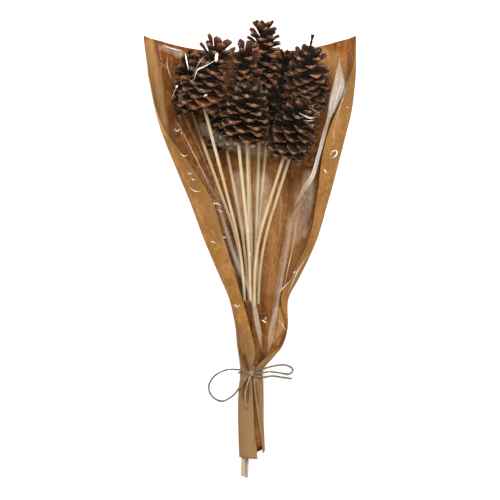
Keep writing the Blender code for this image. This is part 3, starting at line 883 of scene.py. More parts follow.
def stickFinish():
    finish, tree, shader = newFinish("split cane", roughness=0.48, specular=0.4)
    place = objectPlace(tree, (1, 0.03, 1))
    grain = noiseNode(tree, place, 1400, 3.0, 0.6)
    bands = noiseNode(tree, objectPlace(tree, (1, 0.22, 1)), 60, 2.0)
    base = mixColours(tree, spread(tree, bands, 0.35, 0.65), sticks["straw"], sticks["pale"])
    base = mixColours(tree, spread(tree, grain, 0.56, 0.80), base, sticks["grain"])
    parts = node(tree, "ShaderNodeSeparateXYZ")
    wire(tree, objectPlace(tree), parts.inputs[0])
    dull = spread(tree, parts.outputs["Y"], *sticks["dullSpan"])
    base = mixColours(tree, dull, base, sticks["dullEnd"])
    shade = times(tree, attributeNode(tree, "shade"), sticks["shadeDepth"])
    base = mixColours(tree, shade, base, sticks["shadow"])
    wire(tree, base, shader.inputs["Base Color"])
    addBump(tree, shader, grain, 0.35, 0.0003)
    return finish


def makeSticks():
    finish = stickFinish()
    before, after = sticks["shadeEdge"]
    for seed, name in enumerate(sticks["rows"]):
        route = evenRoute([point * mm for point in stickRoute(name)], 2.5 * mm)
        sizes = []
        for point in route:
            wobble = sticks["wobble"] * noise.noise(Vector((seed * 7.3, point.y * 18, 0)))
            swell = sticks["endSwell"] * easeStep(*sticks["swellSpan"], -point.y / mm)
            sizes.append((sticks["radius"] + wobble + swell) * mm)
        bm = newMesh()
        addTube(bm, route, sizes, 12)
        closeEnds(bm)
        thing = addPiece("cane_" + name, bm, finish)
        thing.data.set_sharp_from_angle(angle=math.radians(50))
        edge = sticks["shaded"].get(name, 300)      # 300 lies past the cones: nowhere in the shade
        setAttribute(thing, "shade", [easeStep(edge + before, edge + after, vert.co.y / mm)
                                      for vert in thing.data.vertices])
        settle(thing, "stick_" + name)
    print("sticks:", len(sticks["rows"]))


# Kraft paper

paper = {
    "columns": 270, "rows": 150, "neckRow": 0.79, "rowEase": 0.42,
    "thickness": 0.5,
    # Unevenness in mm and its size across, along and up. It is left out near the neck, where the
    # sticks lie close to the paper, and changes over from the back to the flaps.
    "wave": 1.1, "flapWave": 0.9, "waveSize": (32, 85, 32), "crinkle": 0.4, "crinkleSize": (13, 34, 13),
    "neckSpan": (-70, -10), "sideSpan": (0.15, 0.5), "flapSpan": (0.62, 0.78),
    "pleat": 0.55, "pleatSpans": (2, 12, 22, 60),           # at the tie: where they grow and fade
    "backLevel": 20, "frontLevel": 60,                      # heights that folds are seen at
    # Folds pressed into the paper: route in pixels of the picture, whether it runs in the back or
    # the front of the wrap, height in mm and half width in mm.
    "folds": [
        ([(306, 158), (303, 180), (299, 205), (292, 240)], "back", 2.6, 3.0),
        ([(317, 160), (311, 185), (306, 215)], "back", 2.2, 3.0),
        ([(288, 176), (286, 205), (280, 240), (272, 285)], "back", 1.8, 2.6),
        ([(276, 240), (272, 270), (266, 300)], "back", 1.2, 2.0),
        ([(234, 176), (242, 166), (254, 162), (266, 165), (276, 174)], "back", 1.4, 2.6),
        ([(262, 190), (268, 212), (266, 236)], "back", 1.0, 2.4),
        ([(184, 118), (197, 150), (212, 190), (226, 225)], "back", 2.2, 3.0),
        ([(199, 120), (214, 160), (226, 200)], "back", 1.5, 3.0),
        ([(240, 170), (246, 200), (251, 235)], "back", 1.2, 2.5),
        ([(150, 42), (159, 75), (166, 112)], "back", 2.0, 4.0),
        ([(350, 40), (345, 64), (338, 92)], "back", 1.8, 4.0),
        ([(318, 46), (330, 58), (340, 78)], "back", 1.6, 4.0),
        ([(160, 122), (172, 138), (186, 165)], "front", 0.9, 2.5),
        ([(196, 200), (214, 236), (226, 262)], "front", 0.7, 3.0),
        ([(333, 135), (325, 168), (318, 205)], "front", 0.8, 3.0),
        ([(237, 318), (239, 334), (243, 352), (247, 366)], "front", 1.0, 1.6),
        ([(247, 322), (250, 340), (250, 357), (250, 369)], "front", 1.3, 3.0),
        ([(242.2, 378), (242.5, 396), (242, 420)], "front", 1.2, 1.2),
        ([(247, 381), (246.8, 396), (248, 420)], "front", 1.0, 1.1),
        ([(250.5, 382), (250, 404), (252, 446)], "front", 1.1, 1.5),
        ([(260.5, 380), (260.8, 400), (262, 430)], "front", 1.1, 1.2),
    ],
    # Short tucks at the neck, pressed inwards, which are also painted dark as shade.
    "tucks": [
        ([(244.6, 356), (245.4, 363), (248.5, 371)], 2.4, 1.5),
        ([(240.5, 346), (242.5, 360), (246, 371.5)], 1.6, 1.2),
        ([(247, 380), (244.8, 390), (242.8, 399)], 2.2, 1.4),
        ([(249.6, 382), (248.2, 392), (247.6, 403)], 1.6, 1.2),
        ([(256, 382), (257, 392), (258.5, 404)], 1.6, 1.2),
    ],
    # The lower edge on Y, from the left edge of the sheet over its back to the right edge.
    "hem": [
        (-1.0, -210.5), (-0.55, -208.5), (0.0, -206.0), (0.45, -201.0), (0.8, -202.0), (1.0, -204.5),
    ],
    # Parts of the sheet painted darker as shade: route in pixels, half width in mm, strength.
    "shades": [
        ([(354, 46), (354, 66), (350, 92), (343, 114)], [4, 5, 6, 4], 0.3),
        ([(350, 78), (347.5, 97), (343, 114)], [3, 4.5, 3], 0.5),
        ([(305, 244), (298, 268), (290, 296)], [7, 9, 6], 0.7),
        ([(238, 330), (243, 350), (246, 368)], [6, 7, 7], 0.8),
        ([(273, 320), (270, 340), (264, 362)], [4, 5, 5], 0.5),
        ([(318, 206), (311, 236)], [5, 5], 0.3),
        ([(166, 126), (180, 150), (196, 182), (212, 214), (222, 240)], [3.5, 5, 5, 4.5, 3], 0.6),
        ([(286, 180), (284, 204), (279, 232)], [2.4, 2.6, 2.0], 0.5),
        ([(297, 172), (294, 192), (290, 210)], [2.4, 2.4, 2.0], 0.5),
        ([(272, 236), (269, 262), (266, 288)], [2.2, 2.4, 2.0], 0.45),
    ],
    # Parts painted lighter as light that falls on them, the same way.
    "litPatches": [
        ([(147, 40), (150, 62), (154, 88), (160, 112), (164, 130)], [4, 6, 6, 4, 3], 0.8),
        ([(279, 310), (282, 325), (277, 342)], [2.6, 3.6, 3.2], 0.8),
        ([(268, 180), (276, 210), (276, 245), (270, 285)], [14, 15, 12, 8], 0.3),
        ([(240, 160), (262, 170), (280, 168)], [6, 8, 7], 0.35),
        ([(202, 120), (208, 136), (214, 152)], [4, 5, 4], 0.35),
        ([(298, 184), (292, 215), (286, 250)], [5, 6, 5], 0.2),
        ([(162, 125), (180, 168), (203, 222), (226, 276)], [1.2, 1.2, 1.2, 1.2], 0.3),
        ([(322, 50), (336, 58), (342, 78), (340, 96)], [6, 8, 7, 4], 0.45),
    ],
    # Dark lines painted as shade in creases, in gaps and between the cones, the same way.
    "lines": [
        ([(245.5, 378), (242.5, 390), (241, 402)], [0.7, 0.8, 0.4], 0.7),
        ([(247.5, 380), (244.8, 390), (242.6, 398)], [0.6, 0.9, 0.5], 0.9),
        ([(249.2, 381), (247, 392), (245.5, 408), (245.5, 424)], [0.5, 0.7, 0.5, 0.3], 0.6),
        ([(250.6, 384), (249.8, 398), (251.5, 420)], [0.4, 0.5, 0.4], 0.5),
        ([(254, 420), (255, 436), (254, 450)], [0.8, 1.1, 0.5], 0.5),
        ([(259.5, 380), (259, 400), (261.5, 428)], [0.8, 0.7, 0.5], 0.6),
        ([(256.2, 382), (257, 394), (259.6, 412)], [0.7, 0.7, 0.5], 0.6),
        ([(239.5, 328), (243, 345), (247, 360), (250, 370)], [0.5, 0.7, 0.8, 0.7], 0.6),
        ([(246, 338), (250, 352), (251, 367)], [0.5, 0.6, 0.7], 0.5),
        ([(238.5, 345), (240.5, 357), (244, 367)], [0.7, 0.8, 0.7], 0.7),
        ([(244, 354), (245.2, 361), (247.0, 367.5), (250, 373)], [1.0, 2.2, 2.0, 0.9], 1.0),
        ([(246.5, 380), (245.0, 388), (244.4, 397)], [1.0, 2.0, 1.0], 0.95),
        ([(252.6, 380), (253.8, 396), (256.4, 420)], [0.8, 1.2, 1.2], 0.9),
        ([(284.5, 331), (278, 340), (270.5, 351)], [0.7, 0.9, 0.7], 0.7),
        ([(276, 304), (279, 318), (275, 336)], [0.7, 0.7, 0.6], 0.5),
        ([(234, 178), (243, 167), (256, 163)], [0.9, 0.9, 0.9], 0.45),
        ([(290, 184), (289, 200), (285, 222), (283, 240), (277, 270)], [1.0, 1.0, 1.0, 1.0, 0.8], 0.7),
        ([(302, 178), (301, 192), (297, 214)], [1.0, 1.0, 0.8], 0.6),
        ([(280, 226), (278, 240), (272, 276)], [0.8, 0.9, 0.8], 0.6),
        ([(275, 196), (273, 214), (275, 230)], [0.8, 0.9, 0.8], 0.5),
        ([(188, 128), (200, 158), (212, 190), (224, 222)], [1.3, 1.4, 1.4, 1.0], 0.45),
        ([(214, 150), (222, 176), (230, 204)], [0.9, 0.9, 0.8], 0.35),
        ([(237.6, 322), (239.4, 336), (239.6, 350)], [0.5, 0.6, 0.5], 0.5),
        ([(262.5, 360), (257, 366), (254, 371.5)], [0.5, 0.9, 0.8], 0.8),
        ([(264.5, 357.5), (259.5, 363), (253.5, 371.5)], [0.4, 0.7, 0.8], 0.8),
        ([(150, 70), (158, 112), (168, 138)], [0.6, 0.5, 0.5], 0.25),
        ([(233, 58), (237, 76), (238, 98)], [4, 6, 5], 0.85),
        ([(277, 60), (280, 90), (279, 124)], [5, 7, 6], 0.8),
        ([(165, 150), (186, 198), (201, 236)], [0.5, 0.5, 0.5], 0.2),
        ([(329, 136), (321, 170), (315, 206)], [0.6, 0.6, 0.6], 0.3),
        ([(352, 44), (348, 70), (341, 96)], [0.7, 0.7, 0.6], 0.3),
    ],
    # Plain, dark and pale tone of each side and of the loose leaf, then how dull they are below
    # the tie.
    "outer": ((0.300, 0.142, 0.036), (0.235, 0.10, 0.022), (0.36, 0.185, 0.062), 0.85),
    # The inside and the loose leaf are the same kraft as the outside, painted darker as shade.
    "inner": ((0.255, 0.083, 0.013), (0.11, 0.032, 0.006), (0.37, 0.155, 0.036), 0.1),
    "leaf": ((0.175, 0.068, 0.017), (0.11, 0.036, 0.008), (0.24, 0.102, 0.03), 0.12),
    "skirt": (0.195, 0.117, 0.056), "skirtDark": (0.19, 0.10, 0.045),
    # Colours of painted shade, of painted shade in creases and gaps, and of painted light.
    "shade": (0.185, 0.088, 0.028), "creaseShade": (0.10, 0.042, 0.014), "bright": (0.50, 0.265, 0.095),
}


def paperFinish(name, base, dark, pale, worn):
    finish, tree, shader = newFinish(name, roughness=0.8, specular=0.06)
    place = objectPlace(tree)
    parts = node(tree, "ShaderNodeSeparateXYZ")
    wire(tree, place, parts.inputs[0])
    skirt = times(tree, spread(tree, parts.outputs["Y"], -0.07, -0.125), worn)
    aside = plus(tree, parts.outputs["X"], times(tree, parts.outputs["Y"], 0.2))
    clouds = noiseNode(tree, place, 24, 3.0, 0.5)
    streaks = noiseNode(tree, objectPlace(tree, (1, 0.12, 1)), 70, 4.0, 0.6)
    fibres = noiseNode(tree, place, 1500, 2.0, 0.6)
    creases = noiseNode(tree, place, 55, 5.0, 0.6)
    colour = mixColours(tree, spread(tree, clouds, 0.38, 0.7), dark, base)
    colour = mixColours(tree, spread(tree, streaks, 0.5, 0.75), colour, pale)
    colour = mixColours(tree, times(tree, spread(tree, streaks, 0.46, 0.34), 0.7), colour, dark)
    colour = mixColours(tree, times(tree, spread(tree, fibres, 0.55, 0.8), 0.25), colour, dark)
    plain = mixColours(tree, spread(tree, aside, -0.03, 0.0), paper["skirt"], paper["skirtDark"])
    plain = mixColours(tree, spread(tree, clouds, 0.4, 0.7), plain, paper["skirt"])
    # Painted light: high up, where the flaps lie in the light, the inside takes the outer side's lighter
    # colour.
    lit = spread(tree, parts.outputs["Z"], 0.055, 0.095)
    colour = mixColours(tree, lit, colour, mixColours(tree, clouds, paper["outer"][0], paper["outer"][2]))
    # Crushed facets painted as shade and wrinkles painted as pale highlights, strongest low down inside
    # the wrap.
    wrinkles = offMiddle(tree, creases)
    facets = spread(tree, noiseNode(tree, objectPlace(tree, (1, 0.4, 1)), 95, 4.0, 0.6), 0.52, 0.62)
    deep = times(tree, maths(tree, "SUBTRACT", 1.0, times(tree, lit, 0.65)), 0.75)
    colour = mixColours(tree, times(tree, facets, deep), colour, dark)
    colour = mixColours(tree, times(tree, spread(tree, wrinkles, 0.03, 0.0), deep), colour, pale)
    # Painted light along the lit routes.
    colour = mixColours(tree, attributeNode(tree, "bright"), colour, paper["bright"])
    # Painted shade along the shade routes.
    colour = mixColours(tree, attributeNode(tree, "shade"), colour, paper["shade"])
    colour = mixColours(tree, skirt, colour, plain)
    lines = times(tree, spread(tree, offMiddle(tree, streaks), 0.03, 0.0), 0.3)
    colour = mixColours(tree, lines, colour, dark)
    # Painted shade in creases, tucks and gaps.
    colour = mixColours(tree, attributeNode(tree, "creaseShade"), colour, paper["creaseShade"])
    wire(tree, colour, shader.inputs["Base Color"])
    height = plus(tree, times(tree, wrinkles, 3.0), times(tree, fibres, 0.08))
    addBump(tree, shader, height, 0.45, 0.0014)
    return finish


def noiseAt(point, size, shift):
    # Noise at a point in mm, stretched to the given size; shift picks another part of it.
    x, y, z = (value / length for value, length in zip(point, size))
    return noise.noise(Vector((x, y, z + shift)))


def paperRelief(point, side, y):
    # How far the paper stands in from its smooth shape, in mm.
    wave = noiseAt(point, paper["waveSize"], 3.1)
    crinkle = 1 - 2 * abs(noiseAt(point, paper["crinkleSize"], 9.7))
    clear = easeStep(*paper["neckSpan"], y)
    inside = clear * (0.35 + 0.65 * easeStep(*paper["sideSpan"], abs(side)))
    inside *= paper["wave"] * (0.6 + wave) + paper["crinkle"] * crinkle
    flap = paper["flapWave"] * (0.5 + wave) + paper["crinkle"] * max(0.0, crinkle)
    flap *= -(0.25 + 0.75 * clear)
    share = easeStep(*paper["flapSpan"], abs(side))
    return inside * (1 - share) + flap * share


def pressFolds(bm, sides):
    # Raises the folds and sinks the tucks in the paper's flat grid.
    places = np.array([vert.co for vert in bm.verts]) / mm
    front = np.abs(sides) > 0.5
    lift = np.zeros(len(places))
    tucks = [(stops, "front", -depth, half) for stops, depth, half in paper["tucks"]]
    for stops, where, height, half in paper["folds"] + tucks:
        fine = densePath([underPixel(*stop, paper[where + "Level"]) for stop in stops])
        apart = fromPath(places, fine)
        nearest = apart.argmin(axis=1)
        along = nearest / (len(fine) - 1)
        ends = np.clip(np.minimum(along, 1 - along) * 6, 0, 1)
        tent = np.clip(1 - apart.min(axis=1) / half, 0, 1)
        lift += height * tent * ends * (front == (where == "front"))
    for vert, rise in zip(bm.verts, lift):
        vert.co.z += rise * mm


def makePaper():
    top = wrap["sections"][0][0]
    grow, grown, fade, faded = paper["pleatSpans"]
    sides = []

    def place(u, v):
        side = 2 * u - 1
        hem = blend(paper["hem"], side)
        # The rows lie closest together at the neck.
        shift = paper["neckRow"] - 0.5
        ease = math.sin(math.tau * (v - shift)) + math.sin(math.tau * shift)
        y = top + (hem - top) * (v + paper["rowEase"] * ease / math.tau)
        point = wrapPoint(y, side)
        centre = wrapPoint(y, side, 1.0)
        inwards = centre - point
        inwards.y = 0
        if inwards.length > 1e-6:
            inwards.normalize()
        point += inwards * paperRelief(point, side, y)
        dy = y - twine["tieY"]
        gathers = easeStep(grow, grown, abs(dy)) * (1 - easeStep(fade, faded, abs(dy)))
        pleat = math.sin(side * 31 + 0.05 * dy) + 0.6 * math.sin(side * 53 + 1.3 + 0.08 * dy)
        if gathers > 0 and abs(side) > 0.25:
            point -= inwards * gathers * paper["pleat"] * max(0.0, pleat)
        point.z = max(point.z, 0.02)            # never into the table
        if y < wrap["sections"][-1][0]:
            point.y = y
        sides.append(side)
        return point * mm

    bm = newMesh()
    bendGrid(bm, paper["columns"], paper["rows"], place)
    pressFolds(bm, np.array(sides))
    faceSheet(bm, min(bm.faces, key=lambda face: face.calc_center_median().z), upwards=False)
    thing = addPiece("paper_wrap", bm, paperFinish("kraft outside", *paper["outer"]),
                     paperFinish("kraft inside in shade", *paper["inner"]))
    paintRoutes(thing, "shade", paper["shades"], 90)
    paintRoutes(thing, "bright", paper["litPatches"], 90)
    # Painted shade in the tucks and along the crease lines.
    tucks = [(stops, [half * 0.6] * len(stops), 0.8) for stops, _, half in paper["tucks"]]
    paintRoutes(thing, "creaseShade", tucks + paper["lines"], 40)
    addThickness(thing, paper["thickness"], innerFinish=1)
    settle(thing, "kraft_wrap")
    print("paper:", len(thing.data.polygons), "faces before its thickness")


# A loose inner leaf of the paper: over the sticks above the tie, and its end in the slit below it

leaf = {
    "thickness": 0.4,
    "slant": 3.0, "pleat": 0.7, "curl": 1.6, "ragged": 1.5,     # mm, at the free edges
    # Both sheets along Y: middle across, half width, and height above the table. The lines are
    # painted shade in creases and gaps, as on the paper, and level is the height that they are seen at.
    "paper_leaf": {
        "columns": 40, "rows": 70, "level": 30, "droop": 5.5,
        "spine": [
            (-53.0, 1.5, 7.5, 31.5), (-66.0, 1.6, 7.8, 26.5), (-80.0, 2.2, 8.0, 22.5),
            (-96.0, 3.2, 7.6, 20.5), (-116.0, 3.8, 5.4, 19.5),
        ],
        "lines": [
            ([(244, 305.5), (250, 306), (257, 306)], [1.6, 2.2, 1.6], 0.9),
            ([(249, 320), (252, 316), (256, 312)], [1.0, 1.4, 1.0], 0.8),
            ([(254, 334), (255, 350), (254.5, 368)], [0.8, 1.0, 0.8], 0.7),
        ],
    },
    "paper_leaf_low": {
        "columns": 12, "rows": 24, "level": 16, "droop": 1.2,
        "spine": [
            (-128.0, 4.0, 2.6, 16.3), (-150.0, 5.0, 3.6, 16.5), (-177.0, 6.8, 4.6, 16.4),
            (-199.0, 9.0, 4.4, 15.5),
        ],
        "lines": [([(254, 380), (255, 400), (257.5, 424)], [3.5, 3.5, 2.5], 0.75)],
    },
}


def topEdge(side, v):
    # How the upper sheet slants, pleats and curls at its free edge: shift on Y, rise.
    pleat = math.sin(side * 7 + 3 * v) + 0.5 * math.sin(side * 15 + 1)
    rise = leaf["pleat"] * pleat * (0.4 + 0.6 * (1 - v)) + leaf["curl"] * max(0.0, 1 - v * 14) ** 2
    return -leaf["slant"] * (side + 0.5 * math.sin(5 * side)) * (1 - v), rise


def lowEdge(side, v):
    # The lower sheet only ends ragged.
    return leaf["ragged"] * math.sin(side * 4) * v, 0.0


def makeLeaf():
    finish = paperFinish("kraft leaf in shade", *paper["leaf"])
    for name, edge in (("paper_leaf", topEdge), ("paper_leaf_low", lowEdge)):
        sheet = leaf[name]
        spine = sheet["spine"]

        def place(u, v):
            side = 2 * u - 1
            y = spine[0][0] + (spine[-1][0] - spine[0][0]) * v
            middle, half, level = (blend(spine, y, column) for column in (1, 2, 3))
            shift, rise = edge(side, v)
            rise -= sheet["droop"] * side * side
            return Vector((middle + half * side, y + shift, level + rise)) * mm

        bm = newMesh()
        bendGrid(bm, sheet["columns"], sheet["rows"], place)
        faceSheet(bm, next(iter(bm.faces)))
        thing = addPiece(name, bm, finish)
        paintRoutes(thing, "creaseShade", sheet["lines"], sheet["level"])
        addThickness(thing, leaf["thickness"])
        settle(thing, "kraft_wrap")
    print("leaf: above and below the tie")


# Clear film

film = {
    "columns": 200, "rows": 240,
    "tuckGap": 1.5, "paperThickness": 0.7, "squareness": 7.0, "tuckSides": 0.2,
    "tuckColumns": 0.06,        # share of the columns in each strip that is tucked under the paper
    # Along Y, the height of the film's middle.
    "crowns": [
        (199.5, 119), (170.0, 124), (141.0, 127), (118.0, 126), (90.0, 118), (50.0, 101), (10.0, 82),
        (-25.0, 64), (-50.0, 52), (-78.0, 38), (-95.0, 28), (-108.0, 21),
    ],
    # Crumples in mm, their size across, along and up, and on Y where they fade out.
    "crumple": 0.8, "crumpleSize": (22, 46, 40), "fineCrumple": 0.16, "fineSize": (8, 15),
    "crumpleSpan": (-108, -60), "smoothSides": 0.06,
    "clear": 0.003, "edgeOn": 0.018,
    # The film's haze colour, and the painted highlight colour that the haziest places take.
    "colour": (0.65, 0.51, 0.365), "glint": (0.97, 0.95, 0.92),
    "roughness": 0.2, "metallic": 0.15,
    # Hazy bands, partly the film's own haze and partly painted reflection of the light: route in pixels
    # of the picture, half width in mm, strength.
    "bands": [
        ([(303, 200), (292, 220), (288, 240), (283, 265), (278, 290), (275, 310), (271, 330), (268, 343)],
         [3, 3, 3, 2.5, 2.5, 2, 1.6, 0.4], 0.22),
        ([(219, 208), (229, 240), (240, 270), (250, 290), (254, 305), (258, 330), (261, 343)],
         [2, 2.6, 2.8, 2.6, 2.4, 1.8, 0.4], 0.24),
        ([(309, 176), (306, 198), (300, 220), (294, 240)], [5, 7, 6, 4], 0.22),
        ([(298, 196), (302, 214), (304, 234)], [4, 5, 3], 0.16),
        ([(204, 127), (211, 134), (224, 143), (246, 150), (264, 152)], [3.5, 4.5, 4, 4, 5], 0.085),
        ([(240, 178), (243, 198), (246, 226)], [6, 8, 6], 0.15),
        ([(262, 182), (261, 200), (258, 222)], [7, 8, 5], 0.15),
        ([(200, 172), (212, 196), (224, 222)], [4, 6, 4], 0.08),
        ([(160.5, 58), (161.5, 80), (163, 100), (164, 118)], [0.7, 0.7, 0.6, 0.5], 0.16),
        ([(160, 46), (180, 54)], [2, 3], 0.3),
    ],
    # The points across a crease, and whether each is clear, as hazy as its edges, or its middle.
    "foldRows": [(-1.0, "clear"), (-0.72, "edge"), (0.0, "middle"), (0.72, "edge"), (1.0, "clear")],
    "foldPitch": 2.0, "foldGap": 0.25, "foldReach": 9.0, "foldSmooth": 2, "foldLowest": 4.0,
    # Creases, painted white as glints: route in pixels, half width, strength, and how hazy the middle is
    # beside the edges.
    "folds": [
        ([(161, 44.5), (172, 48), (184, 51)], 0.6, 0.8, 1),
        ([(184.8, 51), (186.6, 60), (188.8, 70)], 0.65, 0.9, 1),
        ([(168, 55), (167, 63), (169, 72), (172, 79)], 0.55, 0.6, 1),
        ([(205, 55), (200, 61), (196, 68)], 0.5, 0.5, 1),
        ([(217.5, 52), (216.5, 56), (216, 61.5)], 1.6, 1.0, 0.8),
        ([(219, 58), (214, 60.5), (208, 64), (203, 67), (198, 69), (195.5, 74), (194, 79), (190, 80.5)],
         0.5, 0.8, 1),
        ([(210, 60), (204, 65), (199, 67.5), (195, 71), (192.5, 77)], 0.35, 0.5, 1),
        ([(178, 84), (174, 92), (171, 100)], 0.5, 0.5, 1),
        ([(178, 85), (175.5, 87)], 1.3, 0.9, 1),
        ([(203.8, 96.6), (205.6, 94.4), (207.6, 94.2)], 0.8, 0.9, 1),
        ([(174, 117), (180, 127), (187, 140), (199, 164), (208, 182), (215, 195)], 0.8, 0.42, 0.7),
        ([(182, 112), (192, 132), (204, 158), (217, 190)], 0.6, 0.16, 1),
        ([(174, 127.4), (176.6, 130.6), (179.4, 129.2), (180.6, 126.8)], 0.42, 0.85, 1),
        ([(180.6, 133.4), (182.4, 131.4)], 0.5, 0.8, 1),
        ([(181, 153), (184.2, 155.6), (188, 154.4)], 0.45, 0.8, 1),
        ([(187, 170.4), (189.4, 173.8), (192.6, 171.6)], 0.45, 0.85, 1),
        ([(190.8, 176.2), (193.4, 179.8), (196, 178)], 0.45, 0.8, 1),
        ([(189, 185.4), (192, 189), (197, 191.2), (201.4, 190)], 0.6, 0.75, 0.9),
        ([(211, 198.2), (214.8, 200), (213.4, 203.2), (217.6, 203), (222.4, 206.6)], 0.6, 0.8, 1),
        ([(216, 208), (219.4, 210), (224, 211.4)], 0.5, 0.7, 1),
        ([(226, 212.6), (230, 214), (235, 217)], 0.4, 0.6, 1),
        ([(216, 200), (224, 224), (233, 250), (243, 276), (250, 292), (254.5, 308), (258.5, 330),
          (261, 345)], 1.6, 0.34, 0.35),
        ([(206, 196), (216, 222), (226, 250), (238, 280), (247, 306)], 1.0, 0.2, 0.5),
        ([(303, 199), (293, 216), (289, 236), (285, 262), (280, 288), (276.5, 308), (272, 330),
          (268.5, 345)], 1.5, 0.36, 0.35),
        ([(297, 214), (294, 240), (288, 268), (283, 292)], 0.5, 0.55, 1),
        ([(339.8, 57), (339.4, 66), (339.2, 75), (339.4, 82), (337.8, 90), (335, 98), (332.6, 106),
          (329, 117), (325.5, 130)], [0.8, 3.0, 5.6, 6.8, 6.6, 6.0, 4.8, 3.2, 1.6], 0.62, 0.88),
        ([(331, 110), (327.5, 122), (323, 138), (318.5, 155), (313, 174), (303, 190), (294, 207)],
         [2.0, 2.8, 2.6, 2.2, 2.6, 3.2, 1.4], 0.6, 0.85),
        ([(352, 52), (352.6, 66), (347, 84), (340.5, 105), (335, 125), (332, 140)], 0.5, 0.55, 1),
        ([(330, 156.6), (331.6, 151.4), (336, 150), (337, 153.4), (333.6, 156.8), (329.4, 158.6)],
         0.7, 0.8, 1),
        ([(346, 105.6), (347.4, 107.4), (349, 106.8)], 0.5, 0.8, 1),
        ([(323.6, 168.4), (325.4, 170.4), (326.2, 172.6)], 0.5, 0.8, 1),
        ([(333, 128), (334, 134), (333, 141)], 0.45, 0.6, 1),
        ([(308, 254), (303, 262), (298, 270), (292.5, 282), (288, 293)], 0.9, 0.6, 0.8),
        ([(222, 235), (224.4, 237.4), (226.6, 235.6)], 0.5, 0.85, 1),
        ([(209.6, 241.6), (213, 241), (216, 243.2)], 0.5, 0.8, 1),
        ([(249.4, 252), (250.4, 256)], 0.8, 0.8, 1),
        ([(293, 273), (295.5, 270.5)], 0.9, 0.8, 1),
        ([(278, 293), (283.5, 287), (290, 280)], 0.8, 0.6, 1),
        ([(232.4, 305.6), (235.4, 304), (237, 306.6), (240.6, 303.4)], 0.5, 0.85, 1),
        ([(261.2, 319.4), (264, 320.6), (266.8, 323)], 0.55, 0.9, 1),
        ([(266.2, 316), (264.6, 320)], 0.4, 0.8, 1),
        ([(277, 320.6), (281, 321.8), (283.4, 326), (286, 331)], 0.4, 0.7, 1),
        ([(288, 331), (284.5, 338), (280, 345), (274.5, 352)], 0.6, 0.75, 1),
        ([(253, 298), (257, 320), (260, 338), (262, 351)], [2.4, 2.8, 2.4, 0.8], 0.46, 0.6),
        ([(277.5, 303), (273.5, 322), (270.5, 340), (268, 352)], [2.8, 3.2, 2.8, 0.8], 0.46, 0.6),
        ([(299, 112.5), (305, 115.5), (311, 117.5), (317, 116)], 1.0, 0.6, 0.8),
        ([(303, 119.5), (309, 120.5), (315, 119.5)], 0.6, 0.5, 1),
        ([(309, 107), (314, 109.5), (319, 113)], 0.5, 0.4, 1),
        ([(276, 176), (281, 200), (280, 226), (276, 250)], 1.2, 0.16, 0.5),
        ([(236, 186), (240, 210), (246, 240), (252, 266)], 0.9, 0.16, 0.5),
    ],
}


def filmPoint(y, share, part):
    # part 0 is the right tuck strip, 1 the dome and 2 the left tuck strip.
    inset = film["paperThickness"] + film["tuckGap"]
    if part == 0:
        return wrapPoint(y, 1 - film["tuckSides"] * (1 - share), inset)
    if part == 2:
        return wrapPoint(y, -1 + film["tuckSides"] * share, inset)
    point = wrapPoint(y, 1, inset).lerp(wrapPoint(y, -1, inset), share)
    swell = max(0.0, 1 - abs(2 * share - 1) ** film["squareness"]) ** 0.5
    point.z += (blend(film["crowns"], y) - point.z) * swell
    return point


def filmFinish():
    finish, tree, shader = newFinish("clear film", roughness=film["roughness"], metallic=film["metallic"])
    hazeAndGlint = attributeNode(tree, "hazeAndGlint")
    place = objectPlace(tree)
    wrinkles = noiseNode(tree, place, 110, 4.0, 0.6)
    streaks = noiseNode(tree, objectPlace(tree, (1, 0.1, 1)), 160, 3.0, 0.6)
    edge = node(tree, "ShaderNodeLayerWeight")
    edge.inputs["Blend"].default_value = 0.25
    # Painted highlight: the haziest places turn glint white.
    bright = mixColours(tree, spread(tree, hazeAndGlint, 0.45, 0.75), film["colour"], film["glint"])
    wire(tree, bright, shader.inputs["Base Color"])
    veil = times(tree, hazeAndGlint, spread(tree, streaks, 0.0, 0.6))
    alpha = plus(tree, times(tree, edge.outputs["Facing"], film["edgeOn"]), veil)
    wire(tree, maths(tree, "ADD", alpha, film["clear"], clamp=True), shader.inputs["Alpha"])
    addBump(tree, shader, offMiddle(tree, wrinkles), 0.1, 0.001)
    return finish


def makeFilm():
    top, bottom = film["crowns"][0][0], film["crowns"][-1][0]
    tuck, calm = film["tuckColumns"], film["smoothSides"]
    fineX, fineY = film["fineSize"]

    def place(u, v):
        y = top + (bottom - top) * v
        if u < tuck:
            return filmPoint(y, u / tuck, 0) * mm
        if u > 1 - tuck:
            return filmPoint(y, (u - 1 + tuck) / tuck, 2) * mm
        t = (u - tuck) / (1 - 2 * tuck)
        point = filmPoint(y, 0.5 - 0.5 * math.cos(math.pi * t), 1)
        ridge = 1 - 2 * abs(noiseAt(point, film["crumpleSize"], 5))
        fine = 1 - 2 * abs(noise.noise(Vector((point.x / fineX, point.y / fineY, 20))))
        # Smooth where it meets the tucked strips, and at its narrow lower end.
        rough = easeStep(0.0, calm, t) * (1 - easeStep(1 - calm, 1.0, t))
        rough *= easeStep(*film["crumpleSpan"], y)
        point.z += rough * (film["crumple"] * ridge + film["fineCrumple"] * fine)
        return point * mm

    bm = newMesh()
    bendGrid(bm, film["columns"], film["rows"], place)
    faceSheet(bm, max(bm.faces, key=lambda face: face.calc_center_median().z))
    finish = filmFinish()
    thing = addPiece("film_sheet", bm, finish)
    paintRoutes(thing, "hazeAndGlint", film["bands"], 105)
    settle(thing, "film_front")
    print("film:", len(thing.data.polygons), "faces")
    makeFoldGlints(finish)


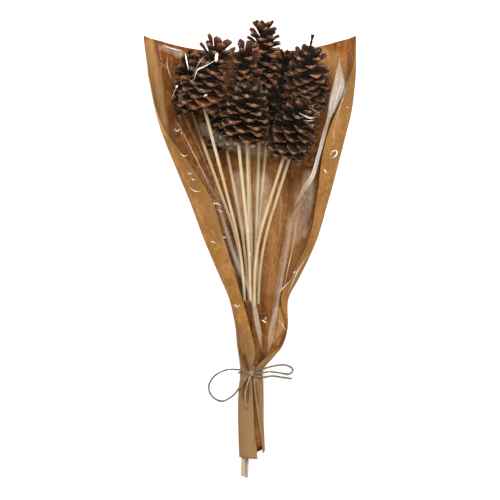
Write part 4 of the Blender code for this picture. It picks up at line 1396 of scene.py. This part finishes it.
def filmAndPaper():
    # Both sheets as one set of faces that a line of sight can be tested against.
    corners, faces = [], []
    for thing in (bpy.data.objects["film_sheet"], bpy.data.objects["paper_wrap"]):
        first = len(corners)
        corners += [vert.co.copy() for vert in thing.data.vertices]
        faces += [[first + i for i in face.vertices] for face in thing.data.polygons]
    return BVHTree.FromPolygons(corners, faces)


def makeFoldGlints(finish):
    # Narrow doubled creases of the film, painted white as glints, laid on what the camera sees first
    # below their routes.
    below = filmAndPaper()
    eye = Vector((0, 0, studio["distance"] + studio["aimHeight"] * mm))
    rows = film["foldRows"]
    reach, smooth = film["foldReach"] * mm, film["foldSmooth"]
    bm = bmesh.new()
    hazeAndGlint = []
    for stops, half, strength, core in film["folds"]:
        halves = half if isinstance(half, list) else [half] * len(stops)
        stops = [Vector((*stop, wide)) for stop, wide in zip(stops, halves)]
        route = smoothRoute(stops, film["foldPitch"])
        last = len(route) - 1
        shares = {"clear": 0, "edge": 1, "middle": core}
        lines, depths, fresh = [], [], []
        for i, spot in enumerate(route):
            ahead = (route[min(i + 1, last)] - route[max(i - 1, 0)]).normalized()
            taper = math.sin(math.pi * (0.06 + 0.88 * i / last)) ** 0.6
            for across, kind in rows:
                at = spot + Vector((-ahead.y, ahead.x, 0)) * (spot.z * taper * across)
                x, y = underPixel(at.x, at.y)
                line = (Vector((x * mm, y * mm, studio["aimHeight"] * mm)) - eye).normalized()
                hit, _, _, depth = below.ray_cast(eye, line)
                lines.append(line)
                depths.append(depth if hit and hit.z > film["foldLowest"] * mm else math.nan)
                fresh.append(strength * taper * shares[kind])
        depths = np.array(depths).reshape(last + 1, len(rows))
        if np.isnan(depths).any():
            print("fold left out, beside the film:", tuple(stops[0].xy))
            continue
        # Evened out along the route, close above what it lies on, and not much tilted across.
        for merge in (np.min, np.mean):
            padded = np.pad(depths, ((smooth, smooth), (0, 0)), "edge")
            depths = merge([padded[k:k + last + 1] for k in range(2 * smooth + 1)], axis=0)
        middle = depths[:, len(rows) // 2][:, None]
        depths = middle + np.clip(depths - middle, -reach, reach) - film["foldGap"] * mm

        def place(u, v):
            i, j = round(v * last), round(u * (len(rows) - 1))
            hazeAndGlint.append(fresh[i * len(rows) + j])
            return eye + lines[i * len(rows) + j] * depths[i, j]

        bendGrid(bm, len(rows) - 1, last, place)
    for face in bm.faces:
        face.normal_update()
    bmesh.ops.reverse_faces(bm, faces=[face for face in bm.faces if face.normal.z < 0])
    thing = addPiece("film_fold_glints", bm, finish)
    setAttribute(thing, "hazeAndGlint", hazeAndGlint)
    settle(thing, "film_front")
    print("film folds:", len(film["folds"]))


makeStudio()
makeTwine()
makePaper()
makeCones()
makeSticks()
makeLeaf()
makeFilm()
